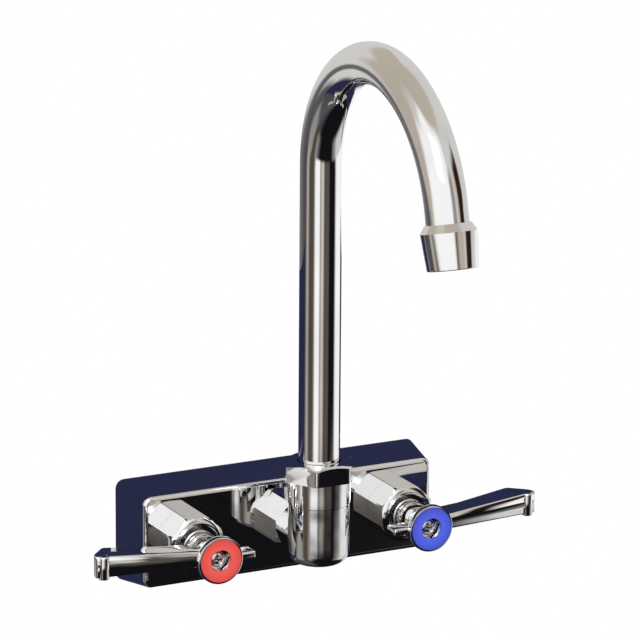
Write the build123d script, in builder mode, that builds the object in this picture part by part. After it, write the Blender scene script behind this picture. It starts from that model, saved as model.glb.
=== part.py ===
from build123d import *
import os
from math import cos, radians

# Commercial wall faucet: a drafted block body on the wall, two quarter-turn lever valves
# and a swivelling gooseneck spout.
# Millimetres. +Z is up, +X to the right, and the front of the faucet looks along -Y.
# The origin lies on the wall face, midway between the two inlets, at the height of the valve axes.
# "Depth" always means the distance from the wall face towards the front, so y = -depth.

os.makedirs("parts", exist_ok=True)

# ---------------------------------------------------------------- driving dimensions

# Body block
VALVE_SPACING = 101.6
BODY_END = 22.2
BODY_HEIGHT = 46.0
BODY_DEPTH = 22.7
BODY_DROP = 0.8
END_DRAFT = 3.5
TOP_DRAFT = 2.5
CORNER_RADIUS = 4.0
FRONT_EDGE_RADIUS = 2.0
CHANNEL_RADIUS = 2.8
CHANNEL_DEPTH = 17.0
CENTRE_CHAMBER_DEPTH = 12.0
INLET_THREAD_RADIUS = 10.48
INLET_THREAD_LENGTH = 10.0
INLET_CHAMFER = 0.8

# Valve cartridge
SEAT_DEPTH = 12.0
SEAT_BORE_RADIUS = 5.6
SEAT_SEAL_THICKNESS = 1.2
CARTRIDGE_RADIUS = 9.6
CARTRIDGE_WALL = 1.9
CARTRIDGE_SHOULDER_DEPTH = 26.0
NOSE_RADIUS = 7.5
NOSE_DEPTH = 38.4
NOSE_ROUND = 0.8
DISC_THICKNESS = 3.0
DISC_PORT_RADIUS = 2.2
DISC_PORT_OFFSET = 3.9
DRIVE_KEY_WIDTH = 3.0
DRIVE_KEY_HEIGHT = 1.1
STEM_RADIUS = 4.0
STEM_FLANGE_THICKNESS = 2.0
STEM_RING_DEPTH = 32.0
STEM_RING_SECTION = 1.5
CARTRIDGE_RING_DEPTH = 24.4
CARTRIDGE_RING_SECTION = 1.4

# Bonnet nut
BONNET_SIDES = 8
BONNET_FLATS = 24.4
BONNET_DEPTH = 37.4
BONNET_DOME_HEIGHT = 3.2
BONNET_DOME_RADIUS = 7.0
BONNET_RECESS_RADIUS = 9.5
BONNET_RIM_LAND = 0.4
BONNET_WEB = 3.5
BONNET_THREAD_RADIUS = 11.0
BONNET_THREAD_LENGTH = 3.8
BONNET_GASKET_RADIUS = 12.0
BONNET_GASKET_THICKNESS = 0.8

# Lever handle
HUB_FACE_DEPTH = 59.8
HUB_RADIUS = 10.4
HUB_RIM = 3.4
HUB_RIM_ROUND = 0.5
HUB_CONE = 7.2
NECK_DEPTH = 39.5
NECK_RADIUS = 6.7
NECK_BEAD_RADIUS = 7.2
NECK_BEAD = 2.8
NECK_GROOVE = 0.9
NECK_GROOVE_RADIUS = 6.1
BLADE_REACH = 55.7
BLADE_SETBACK = 1.0
BLADE_FRONT_DEPTH = HUB_FACE_DEPTH - BLADE_SETBACK
BLADE_FRONT_SWEEP = 5.5
BLADE_ROOT_WIDTH = 12.8
BLADE_WAIST_WIDTH = 11.0
BLADE_TIP_WIDTH = 13.3
BLADE_WAIST = 20.0
BLADE_END_SLANT = 8.2
BLADE_NOSE_SLANT = 0.6
BLADE_NOSE_WIDTH = 4.0
BLADE_NOSE_CORNER = 3.0
BLADE_BACK_CORNER = 1.8
BLADE_FRONT_CORNER = 1.5
BLADE_ROOT_TOP = 4.3
BLADE_TIP_TOP = 7.8
BLADE_UNDERSIDE = 1.9
BLADE_EDGE_RADIUS = 0.9
BEAD_SETBACK = 4.0
BEAD_RADIUS = 2.4
BEAD_RISE = 1.25
BEAD_DROP = 0.9
TAIL_REACH = 17.3
TAIL_THICKNESS = 3.3
TAIL_SETBACK = 1.6
TAIL_FRONT_DEPTH = HUB_FACE_DEPTH - TAIL_SETBACK
TAIL_WIDTH = 8.0
TAIL_ROUND = 1.2
SPLINE_TEETH = 12
SPLINE_DEPTH = 0.35
SPLINE_WIDTH = 1.0
SCREW_WELL_DEPTH = 5.6
SCREW_SEAT_DEPTH = HUB_FACE_DEPTH - SCREW_WELL_DEPTH
SEAT_WEB = 2.2
SOCKET_DEPTH = SCREW_SEAT_DEPTH - SEAT_WEB
SCREW_WELL_RADIUS = 4.5
SCREW_HEAD_RADIUS = 3.8
SCREW_HEAD_HEIGHT = 2.3
SCREW_HEAD_ROUND = 0.7
SCREW_RADIUS = 2.0
SCREW_LENGTH = 9.0
CROSS_WIDTH = 0.9
CROSS_LENGTH = 4.4
CROSS_DEPTH = 1.2
INDEX_RADIUS = 9.5
INDEX_HOLE_RADIUS = 4.8
INDEX_THICKNESS = 1.0

# Spout elbow, swivel nut and spout tail
RISER_DEPTH = 51.0
ELBOW_SIDES = 8
ELBOW_FLATS = 24.0
ELBOW_HEX_LENGTH = 11.0
ELBOW_ARM_RADIUS = 9.6
ELBOW_SPIGOT_RADIUS = 8.8
ELBOW_SPIGOT_LENGTH = 5.0
ELBOW_GASKET_WIDTH = 2.4
ELBOW_GASKET_THICKNESS = 1.2
ELBOW_BARREL_RADIUS = 13.3
ELBOW_BARREL_BOTTOM = -9.7
ELBOW_BARREL_ROUND = 5.0
ELBOW_BARREL_TOP = 17.0
ELBOW_BORE_RADIUS = 6.0
ELBOW_NECK_RADIUS = 11.5
ELBOW_NECK_TOP = 27.2
ELBOW_SOCKET_BOTTOM = 3.0
NUT_FLATS = 28.0
NUT_SKIRT_RADIUS = 13.6
NUT_SKIRT_TOP = 28.0
NUT_CAP = 5.5
NUT_TOP_CHAMFER_HEIGHT = 1.6
NUT_TOP_CHAMFER_WIDTH = 3.0
NUT_BOTTOM_CHAMFER = 0.6
COLLAR_THICKNESS = 2.0
BEARING_THICKNESS = 1.3
SPOUT_TAIL_BOTTOM = 4.0
SPOUT_TAIL_BORE_RADIUS = 5.5
SPOUT_TAIL_SPIGOT = 8.0
SPOUT_RING_SECTION = 2.0
LOWER_RING_LEVEL = 10.0
UPPER_RING_LEVEL = 19.0

# Gooseneck tube
TUBE_RADIUS = 9.0
TUBE_WALL = 1.2
RISER_TOP = 166.5
RISING_BEND_RADIUS = 53.3
RISING_BEND_ANGLE = 108.0
FALLING_BEND_RADIUS = 63.0
FALLING_BEND_ANGLE = 58.0
SPOUT_END_STRAIGHT = 6.0

# Aerator
AERATOR_TOP_WALL = 0.5
AERATOR_SHOULDER_RADIUS = 11.7
AERATOR_SHOULDER = 3.4
AERATOR_BOTTOM_RADIUS = 10.4
AERATOR_LENGTH = 18.6
AERATOR_RIM_ROUND = 0.4
AERATOR_GRIP = 8.0
AERATOR_LIP = 0.8
AERATOR_LIP_WIDTH = 0.5
AERATOR_WASHER_THICKNESS = 1.5
AERATOR_WASHER_WIDTH = 2.4
AERATOR_JET_RADIUS = 0.9
AERATOR_JET_PITCH = 3.0
AERATOR_JETS_PER_RING = 6

# Clearances
RUNNING_FIT = 0.08
THREAD_FIT = 0.1
LOOSE_FIT = 0.3
FACE_GAP = 0.05

# ---------------------------------------------------------------- shared helpers

HALF_SPACING = VALVE_SPACING / 2
VALVE_CENTRES = [(-HALF_SPACING, 0), (HALF_SPACING, 0)]
SIDES = {"hot": -1, "cold": 1}


def save(piece, name):
    """Label a finished piece and write its STEP file."""
    piece.part.label = name
    export_step(piece.part, f"parts/{name}.step")


def valve_plane(side):
    """Level plane whose origin is where a valve axis meets the wall."""
    return Plane(origin=(side * HALF_SPACING, 0, 0), x_dir=(1, 0, 0), z_dir=(0, 0, 1))


def valve_axis(side):
    """A valve's own axis, square to the wall."""
    return Axis((side * HALF_SPACING, 0, 0), (0, 1, 0))


def face_plane(side, depth):
    """Plane parallel to the wall at a depth, centred on a valve axis, looking to the front."""
    return Plane(origin=(side * HALF_SPACING, -depth, 0), x_dir=(1, 0, 0), z_dir=(0, -1, 0))


def turn(plane, axis, outline, mode=Mode.ADD):
    """Spin a closed outline of (radius, position) points about an axis, in the current part."""
    with BuildSketch(plane) as section:
        with BuildLine():
            Polyline(*outline, close=True)
        make_face()
    revolve(section.sketch, axis=axis, mode=mode)


def sink(plane, radius, length, centres=((0, 0),)):
    """Sink round holes into the current part, from a plane against its normal."""
    with BuildSketch(plane) as holes:
        with Locations(*centres):
            Circle(radius)
    extrude(holes.sketch, amount=-length, mode=Mode.SUBTRACT)


def plain_ring(plane, axis, inner, outer, start, end):
    """A ring of rectangular section between two positions along an axis."""
    with BuildPart() as ring:
        turn(plane, axis, [(inner, start), (outer, start), (outer, end), (inner, end)])
    return ring


def o_ring(plane, axis, outer, section, position):
    """A round-section seal whose outside touches the given radius."""
    with BuildPart() as ring:
        with BuildSketch(plane):
            with Locations((outer - section / 2, position)):
                Circle(section / 2)
        revolve(axis=axis)
    return ring


# ---------------------------------------------------------------- body block

BODY_LENGTH = VALVE_SPACING + 2 * BODY_END
INLET_RADIUS = INLET_THREAD_RADIUS + THREAD_FIT
BONNET_PORT_RADIUS = BONNET_THREAD_RADIUS + THREAD_FIT
BONNET_PORT_LENGTH = BONNET_THREAD_LENGTH + LOOSE_FIT
CARTRIDGE_PORT_RADIUS = CARTRIDGE_RADIUS + THREAD_FIT
ELBOW_PORT_RADIUS = ELBOW_SPIGOT_RADIUS + THREAD_FIT
ELBOW_GASKET_RADIUS = ELBOW_PORT_RADIUS + ELBOW_GASKET_WIDTH


FRONT_PLANE = Plane.XZ.offset(BODY_DEPTH)

with BuildPart() as body:
    with BuildSketch(Plane.XZ):
        with Locations((0, -BODY_DROP)):
            RectangleRounded(BODY_LENGTH, BODY_HEIGHT, CORNER_RADIUS)
    with BuildSketch(FRONT_PLANE):
        with Locations((0, -BODY_DROP)):
            RectangleRounded(BODY_LENGTH - 2 * END_DRAFT, BODY_HEIGHT - 2 * TOP_DRAFT, CORNER_RADIUS)
    loft()
    fillet(body.faces().sort_by(Axis.Y)[0].edges(), FRONT_EDGE_RADIUS)
    # Valve ports: bonnet thread and its gasket, cartridge bore down to the seat, seat bore.
    sink(FRONT_PLANE, BONNET_PORT_RADIUS, BONNET_PORT_LENGTH, VALVE_CENTRES)
    sink(FRONT_PLANE, BONNET_GASKET_RADIUS + FACE_GAP, BONNET_GASKET_THICKNESS, VALVE_CENTRES)
    sink(FRONT_PLANE, CARTRIDGE_PORT_RADIUS, BODY_DEPTH - SEAT_DEPTH, VALVE_CENTRES)
    sink(Plane.XZ.offset(SEAT_DEPTH), SEAT_BORE_RADIUS, SEAT_DEPTH, VALVE_CENTRES)
    # Female inlets in the back, for the supply nipples that stand out of the wall.
    sink(Plane.XZ.offset(INLET_THREAD_LENGTH), INLET_RADIUS, INLET_THREAD_LENGTH, VALVE_CENTRES)
    back_edges = body.faces().sort_by(Axis.Y)[-1].edges().filter_by(GeomType.CIRCLE)
    chamfer(back_edges.filter_by(lambda edge: edge.radius == INLET_RADIUS), INLET_CHAMFER)
    # Outlet port in the middle, with its gasket counterbore.
    sink(FRONT_PLANE, ELBOW_PORT_RADIUS, BODY_DEPTH - CENTRE_CHAMBER_DEPTH)
    sink(FRONT_PLANE, ELBOW_GASKET_RADIUS, ELBOW_GASKET_THICKNESS)
    # Cross channel that brings both valves' water to the outlet port.
    with BuildSketch(Plane.YZ.offset(-HALF_SPACING)):
        with Locations((-CHANNEL_DEPTH, 0)):
            Circle(CHANNEL_RADIUS)
    extrude(amount=VALVE_SPACING, mode=Mode.SUBTRACT)
save(body, "body")

# ---------------------------------------------------------------- valve cartridge

SEAL_FRONT = SEAT_DEPTH + SEAT_SEAL_THICKNESS
FIXED_DISC_FRONT = SEAL_FRONT + DISC_THICKNESS
TURNING_DISC_BACK = FIXED_DISC_FRONT + FACE_GAP
TURNING_DISC_FRONT = TURNING_DISC_BACK + DISC_THICKNESS
STEM_FLANGE_BACK = TURNING_DISC_FRONT + FACE_GAP
STEM_FLANGE_FRONT = STEM_FLANGE_BACK + STEM_FLANGE_THICKNESS
CHAMBER_RADIUS = CARTRIDGE_RADIUS - CARTRIDGE_WALL
CHAMBER_FRONT = STEM_FLANGE_FRONT + FACE_GAP
DISC_RADIUS = CHAMBER_RADIUS - RUNNING_FIT
STEM_BORE_RADIUS = STEM_RADIUS + RUNNING_FIT
STEM_GROOVE_RADIUS = STEM_RADIUS - STEM_RING_SECTION - FACE_GAP
STEM_GROOVE_HALF = STEM_RING_SECTION / 2 + FACE_GAP
CARTRIDGE_GROOVE_RADIUS = CARTRIDGE_RADIUS - CARTRIDGE_RING_SECTION - FACE_GAP
CARTRIDGE_GROOVE_HALF = CARTRIDGE_RING_SECTION / 2 + FACE_GAP
STEM_END_DEPTH = SOCKET_DEPTH - LOOSE_FIT
SPLINE_START_DEPTH = NECK_DEPTH + NECK_BEAD


def cartridge_housing(side):
    """Brass housing: disc chamber behind, stem guide in front, two outlet windows in its wall."""
    outline = [
        (CHAMBER_RADIUS, -(SEAT_DEPTH + FACE_GAP)),
        (CARTRIDGE_RADIUS, -(SEAT_DEPTH + FACE_GAP)),
        (CARTRIDGE_RADIUS, -(CARTRIDGE_RING_DEPTH - CARTRIDGE_GROOVE_HALF)),
        (CARTRIDGE_GROOVE_RADIUS, -(CARTRIDGE_RING_DEPTH - CARTRIDGE_GROOVE_HALF)),
        (CARTRIDGE_GROOVE_RADIUS, -(CARTRIDGE_RING_DEPTH + CARTRIDGE_GROOVE_HALF)),
        (CARTRIDGE_RADIUS, -(CARTRIDGE_RING_DEPTH + CARTRIDGE_GROOVE_HALF)),
        (CARTRIDGE_RADIUS, -CARTRIDGE_SHOULDER_DEPTH),
        (NOSE_RADIUS, -CARTRIDGE_SHOULDER_DEPTH),
        (NOSE_RADIUS, -NOSE_DEPTH),
        (STEM_BORE_RADIUS, -NOSE_DEPTH),
        (STEM_BORE_RADIUS, -CHAMBER_FRONT),
        (CHAMBER_RADIUS, -CHAMBER_FRONT),
    ]
    with BuildPart() as housing:
        turn(valve_plane(side), valve_axis(side), outline)
        front_edges = housing.faces().sort_by(Axis.Y)[0].edges()
        fillet(front_edges.sort_by(SortBy.RADIUS)[-1], NOSE_ROUND)
        with BuildSketch(face_plane(side, CHANNEL_DEPTH - CHANNEL_RADIUS)):
            Rectangle(2 * CARTRIDGE_PORT_RADIUS, 2 * CHANNEL_RADIUS)
        extrude(amount=2 * CHANNEL_RADIUS, mode=Mode.SUBTRACT)
    return housing


def fixed_disc(side):
    """Ceramic disc on the seat seal, with a round port each side of the axis."""
    with BuildPart() as disc:
        with BuildSketch(face_plane(side, SEAL_FRONT)):
            Circle(DISC_RADIUS)
            with PolarLocations(DISC_PORT_OFFSET, 2):
                Circle(DISC_PORT_RADIUS, mode=Mode.SUBTRACT)
        extrude(amount=DISC_THICKNESS)
    return disc


def turning_disc(side):
    """Butterfly disc with two open notches, and the slot that the stem's key drives."""
    with BuildPart() as disc:
        with BuildSketch(face_plane(side, TURNING_DISC_BACK)):
            Circle(DISC_RADIUS)
            with PolarLocations(DISC_PORT_OFFSET, 2, start_angle=90):
                Circle(DISC_PORT_RADIUS, mode=Mode.SUBTRACT)
                with Locations((DISC_PORT_OFFSET, 0)):
                    Rectangle(2 * DISC_PORT_OFFSET, 2 * DISC_PORT_RADIUS, mode=Mode.SUBTRACT)
        extrude(amount=DISC_THICKNESS)
        with BuildSketch(face_plane(side, TURNING_DISC_FRONT)):
            Rectangle(2 * CHAMBER_RADIUS, DRIVE_KEY_WIDTH)
        extrude(amount=-(DRIVE_KEY_HEIGHT + FACE_GAP), mode=Mode.SUBTRACT)
    return disc


def valve_stem(side):
    """Stem: driving key and flange behind, seal groove, and a splined end for the handle."""
    outline = [
        (0, -STEM_FLANGE_BACK),
        (DISC_RADIUS, -STEM_FLANGE_BACK),
        (DISC_RADIUS, -STEM_FLANGE_FRONT),
        (STEM_RADIUS, -STEM_FLANGE_FRONT),
        (STEM_RADIUS, -(STEM_RING_DEPTH - STEM_GROOVE_HALF)),
        (STEM_GROOVE_RADIUS, -(STEM_RING_DEPTH - STEM_GROOVE_HALF)),
        (STEM_GROOVE_RADIUS, -(STEM_RING_DEPTH + STEM_GROOVE_HALF)),
        (STEM_RADIUS, -(STEM_RING_DEPTH + STEM_GROOVE_HALF)),
        (STEM_RADIUS, -STEM_END_DEPTH),
        (0, -STEM_END_DEPTH),
    ]
    with BuildPart() as stem:
        turn(valve_plane(side), valve_axis(side), outline)
        with BuildSketch(face_plane(side, STEM_FLANGE_BACK)):
            Rectangle(2 * DISC_RADIUS - DRIVE_KEY_WIDTH, DRIVE_KEY_WIDTH - 2 * FACE_GAP)
        extrude(amount=-DRIVE_KEY_HEIGHT)
        with BuildSketch(face_plane(side, SPLINE_START_DEPTH)):
            with PolarLocations(STEM_RADIUS, SPLINE_TEETH):
                Rectangle(2 * SPLINE_DEPTH, SPLINE_WIDTH)
        extrude(amount=STEM_END_DEPTH - SPLINE_START_DEPTH, mode=Mode.SUBTRACT)
        sink(face_plane(side, STEM_END_DEPTH), SCREW_RADIUS + THREAD_FIT, SCREW_LENGTH)
    return stem


# ---------------------------------------------------------------- bonnet nut

BONNET_HALF_TURN = 180 / BONNET_SIDES
BONNET_CORNER_RADIUS = BONNET_FLATS / 2 / cos(radians(BONNET_HALF_TURN))
BONNET_DOME_INNER_RADIUS = BONNET_RECESS_RADIUS + BONNET_RIM_LAND


def bonnet_gasket(side):
    """Fibre ring under the bonnet's flats, let into the block's front face."""
    back = BODY_DEPTH - BONNET_GASKET_THICKNESS
    return plain_ring(
        valve_plane(side), valve_axis(side), BONNET_PORT_RADIUS, BONNET_GASKET_RADIUS, -back, -BODY_DEPTH
    )


def bonnet_nut(side):
    """Octagon bonnet with a domed, recessed front; its thread holds the cartridge in the block."""
    front = face_plane(side, BONNET_DEPTH)
    shoulder_depth = CARTRIDGE_SHOULDER_DEPTH + FACE_GAP
    dome_start = (BONNET_CORNER_RADIUS, -(BONNET_DEPTH - BONNET_DOME_HEIGHT))
    dome_end = (BONNET_DOME_INNER_RADIUS, -BONNET_DEPTH)
    with BuildPart() as bonnet:
        with BuildSketch(face_plane(side, BODY_DEPTH + FACE_GAP)):
            RegularPolygon(
                BONNET_FLATS / 2, BONNET_SIDES, major_radius=False, rotation=BONNET_HALF_TURN
            )
        extrude(amount=BONNET_DEPTH - BODY_DEPTH - FACE_GAP)
        # The dome takes the corners off the front end.
        with BuildSketch(valve_plane(side)):
            with BuildLine():
                Polyline((0, -BONNET_DEPTH), (0, 0), (BONNET_CORNER_RADIUS, 0), dome_start)
                RadiusArc(dome_start, dome_end, BONNET_DOME_RADIUS)
                Line(dome_end, (0, -BONNET_DEPTH))
            make_face()
        revolve(axis=valve_axis(side), mode=Mode.INTERSECT)
        with BuildSketch(face_plane(side, BODY_DEPTH + FACE_GAP)):
            Circle(BONNET_THREAD_RADIUS)
        extrude(amount=-(BONNET_THREAD_LENGTH + FACE_GAP))
        # Recess in front, hole for the cartridge nose, bore for the cartridge head.
        sink(front, BONNET_RECESS_RADIUS, BONNET_DEPTH - shoulder_depth - BONNET_WEB)
        sink(front, NOSE_RADIUS + THREAD_FIT, BONNET_DEPTH - shoulder_depth)
        sink(face_plane(side, shoulder_depth), CARTRIDGE_PORT_RADIUS, shoulder_depth)
    return bonnet


# ---------------------------------------------------------------- lever handle

RIM_BACK = HUB_FACE_DEPTH - HUB_RIM
CONE_BACK = RIM_BACK - HUB_CONE
BEAD_FRONT = NECK_DEPTH + NECK_BEAD
GROOVE_FRONT = BEAD_FRONT + NECK_GROOVE


def blade_front(reach):
    """Depth of the blade's front face at a distance out from the valve axis."""
    return BLADE_FRONT_DEPTH - BLADE_FRONT_SWEEP * reach / BLADE_REACH


def lever_blade(side):
    """Blade: its plan, swept back and widening outwards, cut to its side view, rising outwards."""
    tip_depth = blade_front(BLADE_REACH)
    back_reach = BLADE_REACH - BLADE_END_SLANT
    outward = Axis((side * HALF_SPACING, 0, 0), (side, 0, 0))
    with BuildPart() as blade:
        with BuildSketch(valve_plane(side).offset(-BLADE_UNDERSIDE)) as plan:
            with BuildLine():
                Polyline(
                    (0, -blade_front(0)),
                    (side * BLADE_REACH, -tip_depth),
                    (side * (BLADE_REACH - BLADE_NOSE_SLANT), BLADE_NOSE_WIDTH - tip_depth),
                    (side * back_reach, BLADE_TIP_WIDTH - blade_front(back_reach)),
                    (side * BLADE_WAIST, BLADE_WAIST_WIDTH - blade_front(BLADE_WAIST)),
                    (0, BLADE_ROOT_WIDTH - blade_front(0)),
                    close=True,
                )
            make_face()
            corners = plan.vertices().sort_by(Axis((0, 0, 0), (side, 0, 0)))
            fillet(corners[-1], BLADE_FRONT_CORNER)
            fillet(corners[-2], BLADE_NOSE_CORNER)
            fillet(corners[-3], BLADE_BACK_CORNER)
        extrude(amount=BLADE_UNDERSIDE + BLADE_TIP_TOP)
        with BuildSketch(face_plane(side, BLADE_FRONT_DEPTH)):
            with BuildLine():
                Polyline(
                    (0, -BLADE_UNDERSIDE),
                    (side * BLADE_REACH, -BLADE_UNDERSIDE),
                    (side * BLADE_REACH, BLADE_TIP_TOP),
                    (0, BLADE_ROOT_TOP),
                    close=True,
                )
            make_face()
        extrude(amount=-BLADE_FRONT_DEPTH, mode=Mode.INTERSECT)
        upright = blade.edges().filter_by(Axis.Z)
        root = blade.edges().group_by(outward)[0]
        fillet(blade.edges() - upright - root, BLADE_EDGE_RADIUS)
        # Finger bead down the front of the tip.
        bead_reach = BLADE_REACH - BEAD_SETBACK
        bead_top = BLADE_ROOT_TOP + (BLADE_TIP_TOP - BLADE_ROOT_TOP) * bead_reach / BLADE_REACH
        bead_bottom = BLADE_UNDERSIDE + BEAD_DROP
        bead_depth = blade_front(bead_reach) + BEAD_RISE - BEAD_RADIUS
        with BuildSketch(valve_plane(side).offset(-bead_bottom)):
            with Locations((side * bead_reach, -bead_depth)):
                Circle(BEAD_RADIUS)
        extrude(amount=bead_bottom + bead_top)
    return blade


def lever_handle(side):
    """Handle: turned hub, lever blade outwards, short tail inwards, spline socket and screw well."""
    blade = lever_blade(side)
    outline = [
        (0, -NECK_DEPTH),
        (NECK_BEAD_RADIUS, -NECK_DEPTH),
        (NECK_BEAD_RADIUS, -BEAD_FRONT),
        (NECK_GROOVE_RADIUS, -BEAD_FRONT),
        (NECK_GROOVE_RADIUS, -GROOVE_FRONT),
        (NECK_RADIUS, -GROOVE_FRONT),
        (NECK_RADIUS, -CONE_BACK),
        (HUB_RADIUS, -RIM_BACK),
        (HUB_RADIUS, -HUB_FACE_DEPTH),
        (0, -HUB_FACE_DEPTH),
    ]
    with BuildPart() as handle:
        turn(valve_plane(side), valve_axis(side), outline)
        fillet(handle.faces().sort_by(Axis.Y)[0].edges(), HUB_RIM_ROUND)
        add(blade.part)
        tail_depth = TAIL_FRONT_DEPTH - TAIL_WIDTH / 2
        with BuildSketch(valve_plane(side).offset(-TAIL_THICKNESS / 2)):
            with Locations((-side * TAIL_REACH / 2, -tail_depth)):
                RectangleRounded(TAIL_REACH, TAIL_WIDTH, TAIL_ROUND)
        extrude(amount=TAIL_THICKNESS)
        # Splined socket for the stem, screw hole, screw well and index recess.
        front = face_plane(side, HUB_FACE_DEPTH)
        sink(face_plane(side, SOCKET_DEPTH), STEM_RADIUS + THREAD_FIT, SOCKET_DEPTH - NECK_DEPTH)
        sink(front, SCREW_RADIUS + THREAD_FIT, HUB_FACE_DEPTH - SOCKET_DEPTH)
        sink(front, SCREW_WELL_RADIUS, HUB_FACE_DEPTH - SCREW_SEAT_DEPTH)
        sink(front, INDEX_RADIUS + FACE_GAP, INDEX_THICKNESS)
    return handle


def index_ring(side):
    """Coloured ring let into the hub's front face."""
    back = HUB_FACE_DEPTH - INDEX_THICKNESS
    return plain_ring(
        valve_plane(side), valve_axis(side), INDEX_HOLE_RADIUS, INDEX_RADIUS, -back, -HUB_FACE_DEPTH
    )


def handle_screw(side):
    """Cross-slotted screw that holds the handle on the stem."""
    head_front = SCREW_SEAT_DEPTH + SCREW_HEAD_HEIGHT
    outline = [
        (0, -head_front),
        (SCREW_HEAD_RADIUS, -head_front),
        (SCREW_HEAD_RADIUS, -SCREW_SEAT_DEPTH),
        (SCREW_RADIUS, -SCREW_SEAT_DEPTH),
        (SCREW_RADIUS, -(SCREW_SEAT_DEPTH - SCREW_LENGTH)),
        (0, -(SCREW_SEAT_DEPTH - SCREW_LENGTH)),
    ]
    with BuildPart() as screw:
        turn(valve_plane(side), valve_axis(side), outline)
        fillet(screw.faces().sort_by(Axis.Y)[0].edges(), SCREW_HEAD_ROUND)
        with BuildSketch(face_plane(side, head_front)):
            Rectangle(CROSS_LENGTH, CROSS_WIDTH)
            Rectangle(CROSS_WIDTH, CROSS_LENGTH)
        extrude(amount=-CROSS_DEPTH, mode=Mode.SUBTRACT)
    return screw


for water, side in SIDES.items():
    plane, axis = valve_plane(side), valve_axis(side)
    seat_seal = plain_ring(plane, axis, SEAT_BORE_RADIUS, DISC_RADIUS, -SEAT_DEPTH, -SEAL_FRONT)
    cartridge_ring = o_ring(plane, axis, CARTRIDGE_RADIUS, CARTRIDGE_RING_SECTION, -CARTRIDGE_RING_DEPTH)
    stem_ring = o_ring(plane, axis, STEM_RADIUS, STEM_RING_SECTION, -STEM_RING_DEPTH)
    save(seat_seal, f"{water}_seat_seal")
    save(fixed_disc(side), f"{water}_fixed_disc")
    save(turning_disc(side), f"{water}_turning_disc")
    save(cartridge_housing(side), f"{water}_cartridge_housing")
    save(cartridge_ring, f"{water}_cartridge_o_ring")
    save(bonnet_gasket(side), f"{water}_bonnet_gasket")
    save(bonnet_nut(side), f"{water}_bonnet_nut")
    save(valve_stem(side), f"{water}_stem")
    save(stem_ring, f"{water}_stem_o_ring")
    save(lever_handle(side), f"{water}_lever_handle")
    save(index_ring(side), f"{water}_index_ring")
    save(handle_screw(side), f"{water}_handle_screw")

# ---------------------------------------------------------------- spout elbow and swivel

RISER_PLANE = Plane(origin=(0, -RISER_DEPTH, 0), x_dir=(1, 0, 0), z_dir=(0, -1, 0))
RISER_AXIS = Axis((0, -RISER_DEPTH, 0), (0, 0, 1))
SOCKET_RADIUS = TUBE_RADIUS + RUNNING_FIT
COLLAR_BOTTOM = ELBOW_NECK_TOP + FACE_GAP
COLLAR_TOP = COLLAR_BOTTOM + COLLAR_THICKNESS
BEARING_BOTTOM = COLLAR_TOP + FACE_GAP
BEARING_TOP = BEARING_BOTTOM + BEARING_THICKNESS
CAP_BOTTOM = BEARING_TOP + FACE_GAP
NUT_BOTTOM = ELBOW_BARREL_TOP + FACE_GAP
NUT_TOP = CAP_BOTTOM + NUT_CAP
NUT_BORE_RADIUS = ELBOW_NECK_RADIUS + THREAD_FIT
NUT_CORNER_RADIUS = NUT_FLATS / 3**0.5


def riser_level(height):
    """Level plane on the riser axis at a height."""
    return Plane(origin=(0, -RISER_DEPTH, height), x_dir=(1, 0, 0), z_dir=(0, 0, 1))


with BuildPart() as spout_elbow:
    turn(
        RISER_PLANE,
        RISER_AXIS,
        [
            (0, ELBOW_BARREL_BOTTOM),
            (ELBOW_BARREL_RADIUS, ELBOW_BARREL_BOTTOM),
            (ELBOW_BARREL_RADIUS, ELBOW_BARREL_TOP),
            (ELBOW_NECK_RADIUS, ELBOW_BARREL_TOP),
            (ELBOW_NECK_RADIUS, ELBOW_NECK_TOP),
            (0, ELBOW_NECK_TOP),
        ],
    )
    fillet(spout_elbow.faces().sort_by(Axis.Z)[0].edges(), ELBOW_BARREL_ROUND)
    # Arm back to the block: round, then the octagon shoulder, then the threaded spigot.
    with BuildSketch(FRONT_PLANE):
        Circle(ELBOW_ARM_RADIUS)
    extrude(amount=RISER_DEPTH - BODY_DEPTH)
    with BuildSketch(FRONT_PLANE):
        RegularPolygon(ELBOW_FLATS / 2, ELBOW_SIDES, major_radius=False, rotation=180 / ELBOW_SIDES)
    extrude(amount=ELBOW_HEX_LENGTH)
    with BuildSketch(FRONT_PLANE):
        Circle(ELBOW_SPIGOT_RADIUS)
    extrude(amount=-ELBOW_SPIGOT_LENGTH)
    # Waterway: along the arm, up through the barrel, and the socket that the spout tail turns in.
    sink(Plane.XZ.offset(RISER_DEPTH), ELBOW_BORE_RADIUS, RISER_DEPTH)
    sink(riser_level(ELBOW_NECK_TOP), ELBOW_BORE_RADIUS, ELBOW_NECK_TOP)
    sink(riser_level(ELBOW_NECK_TOP), SOCKET_RADIUS, ELBOW_NECK_TOP - ELBOW_SOCKET_BOTTOM)
save(spout_elbow, "spout_elbow")

elbow_gasket = plain_ring(
    Plane.XY,
    Axis.Y,
    ELBOW_PORT_RADIUS,
    ELBOW_GASKET_RADIUS - FACE_GAP,
    -(BODY_DEPTH - ELBOW_GASKET_THICKNESS),
    -BODY_DEPTH,
)
save(elbow_gasket, "elbow_gasket")

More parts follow.
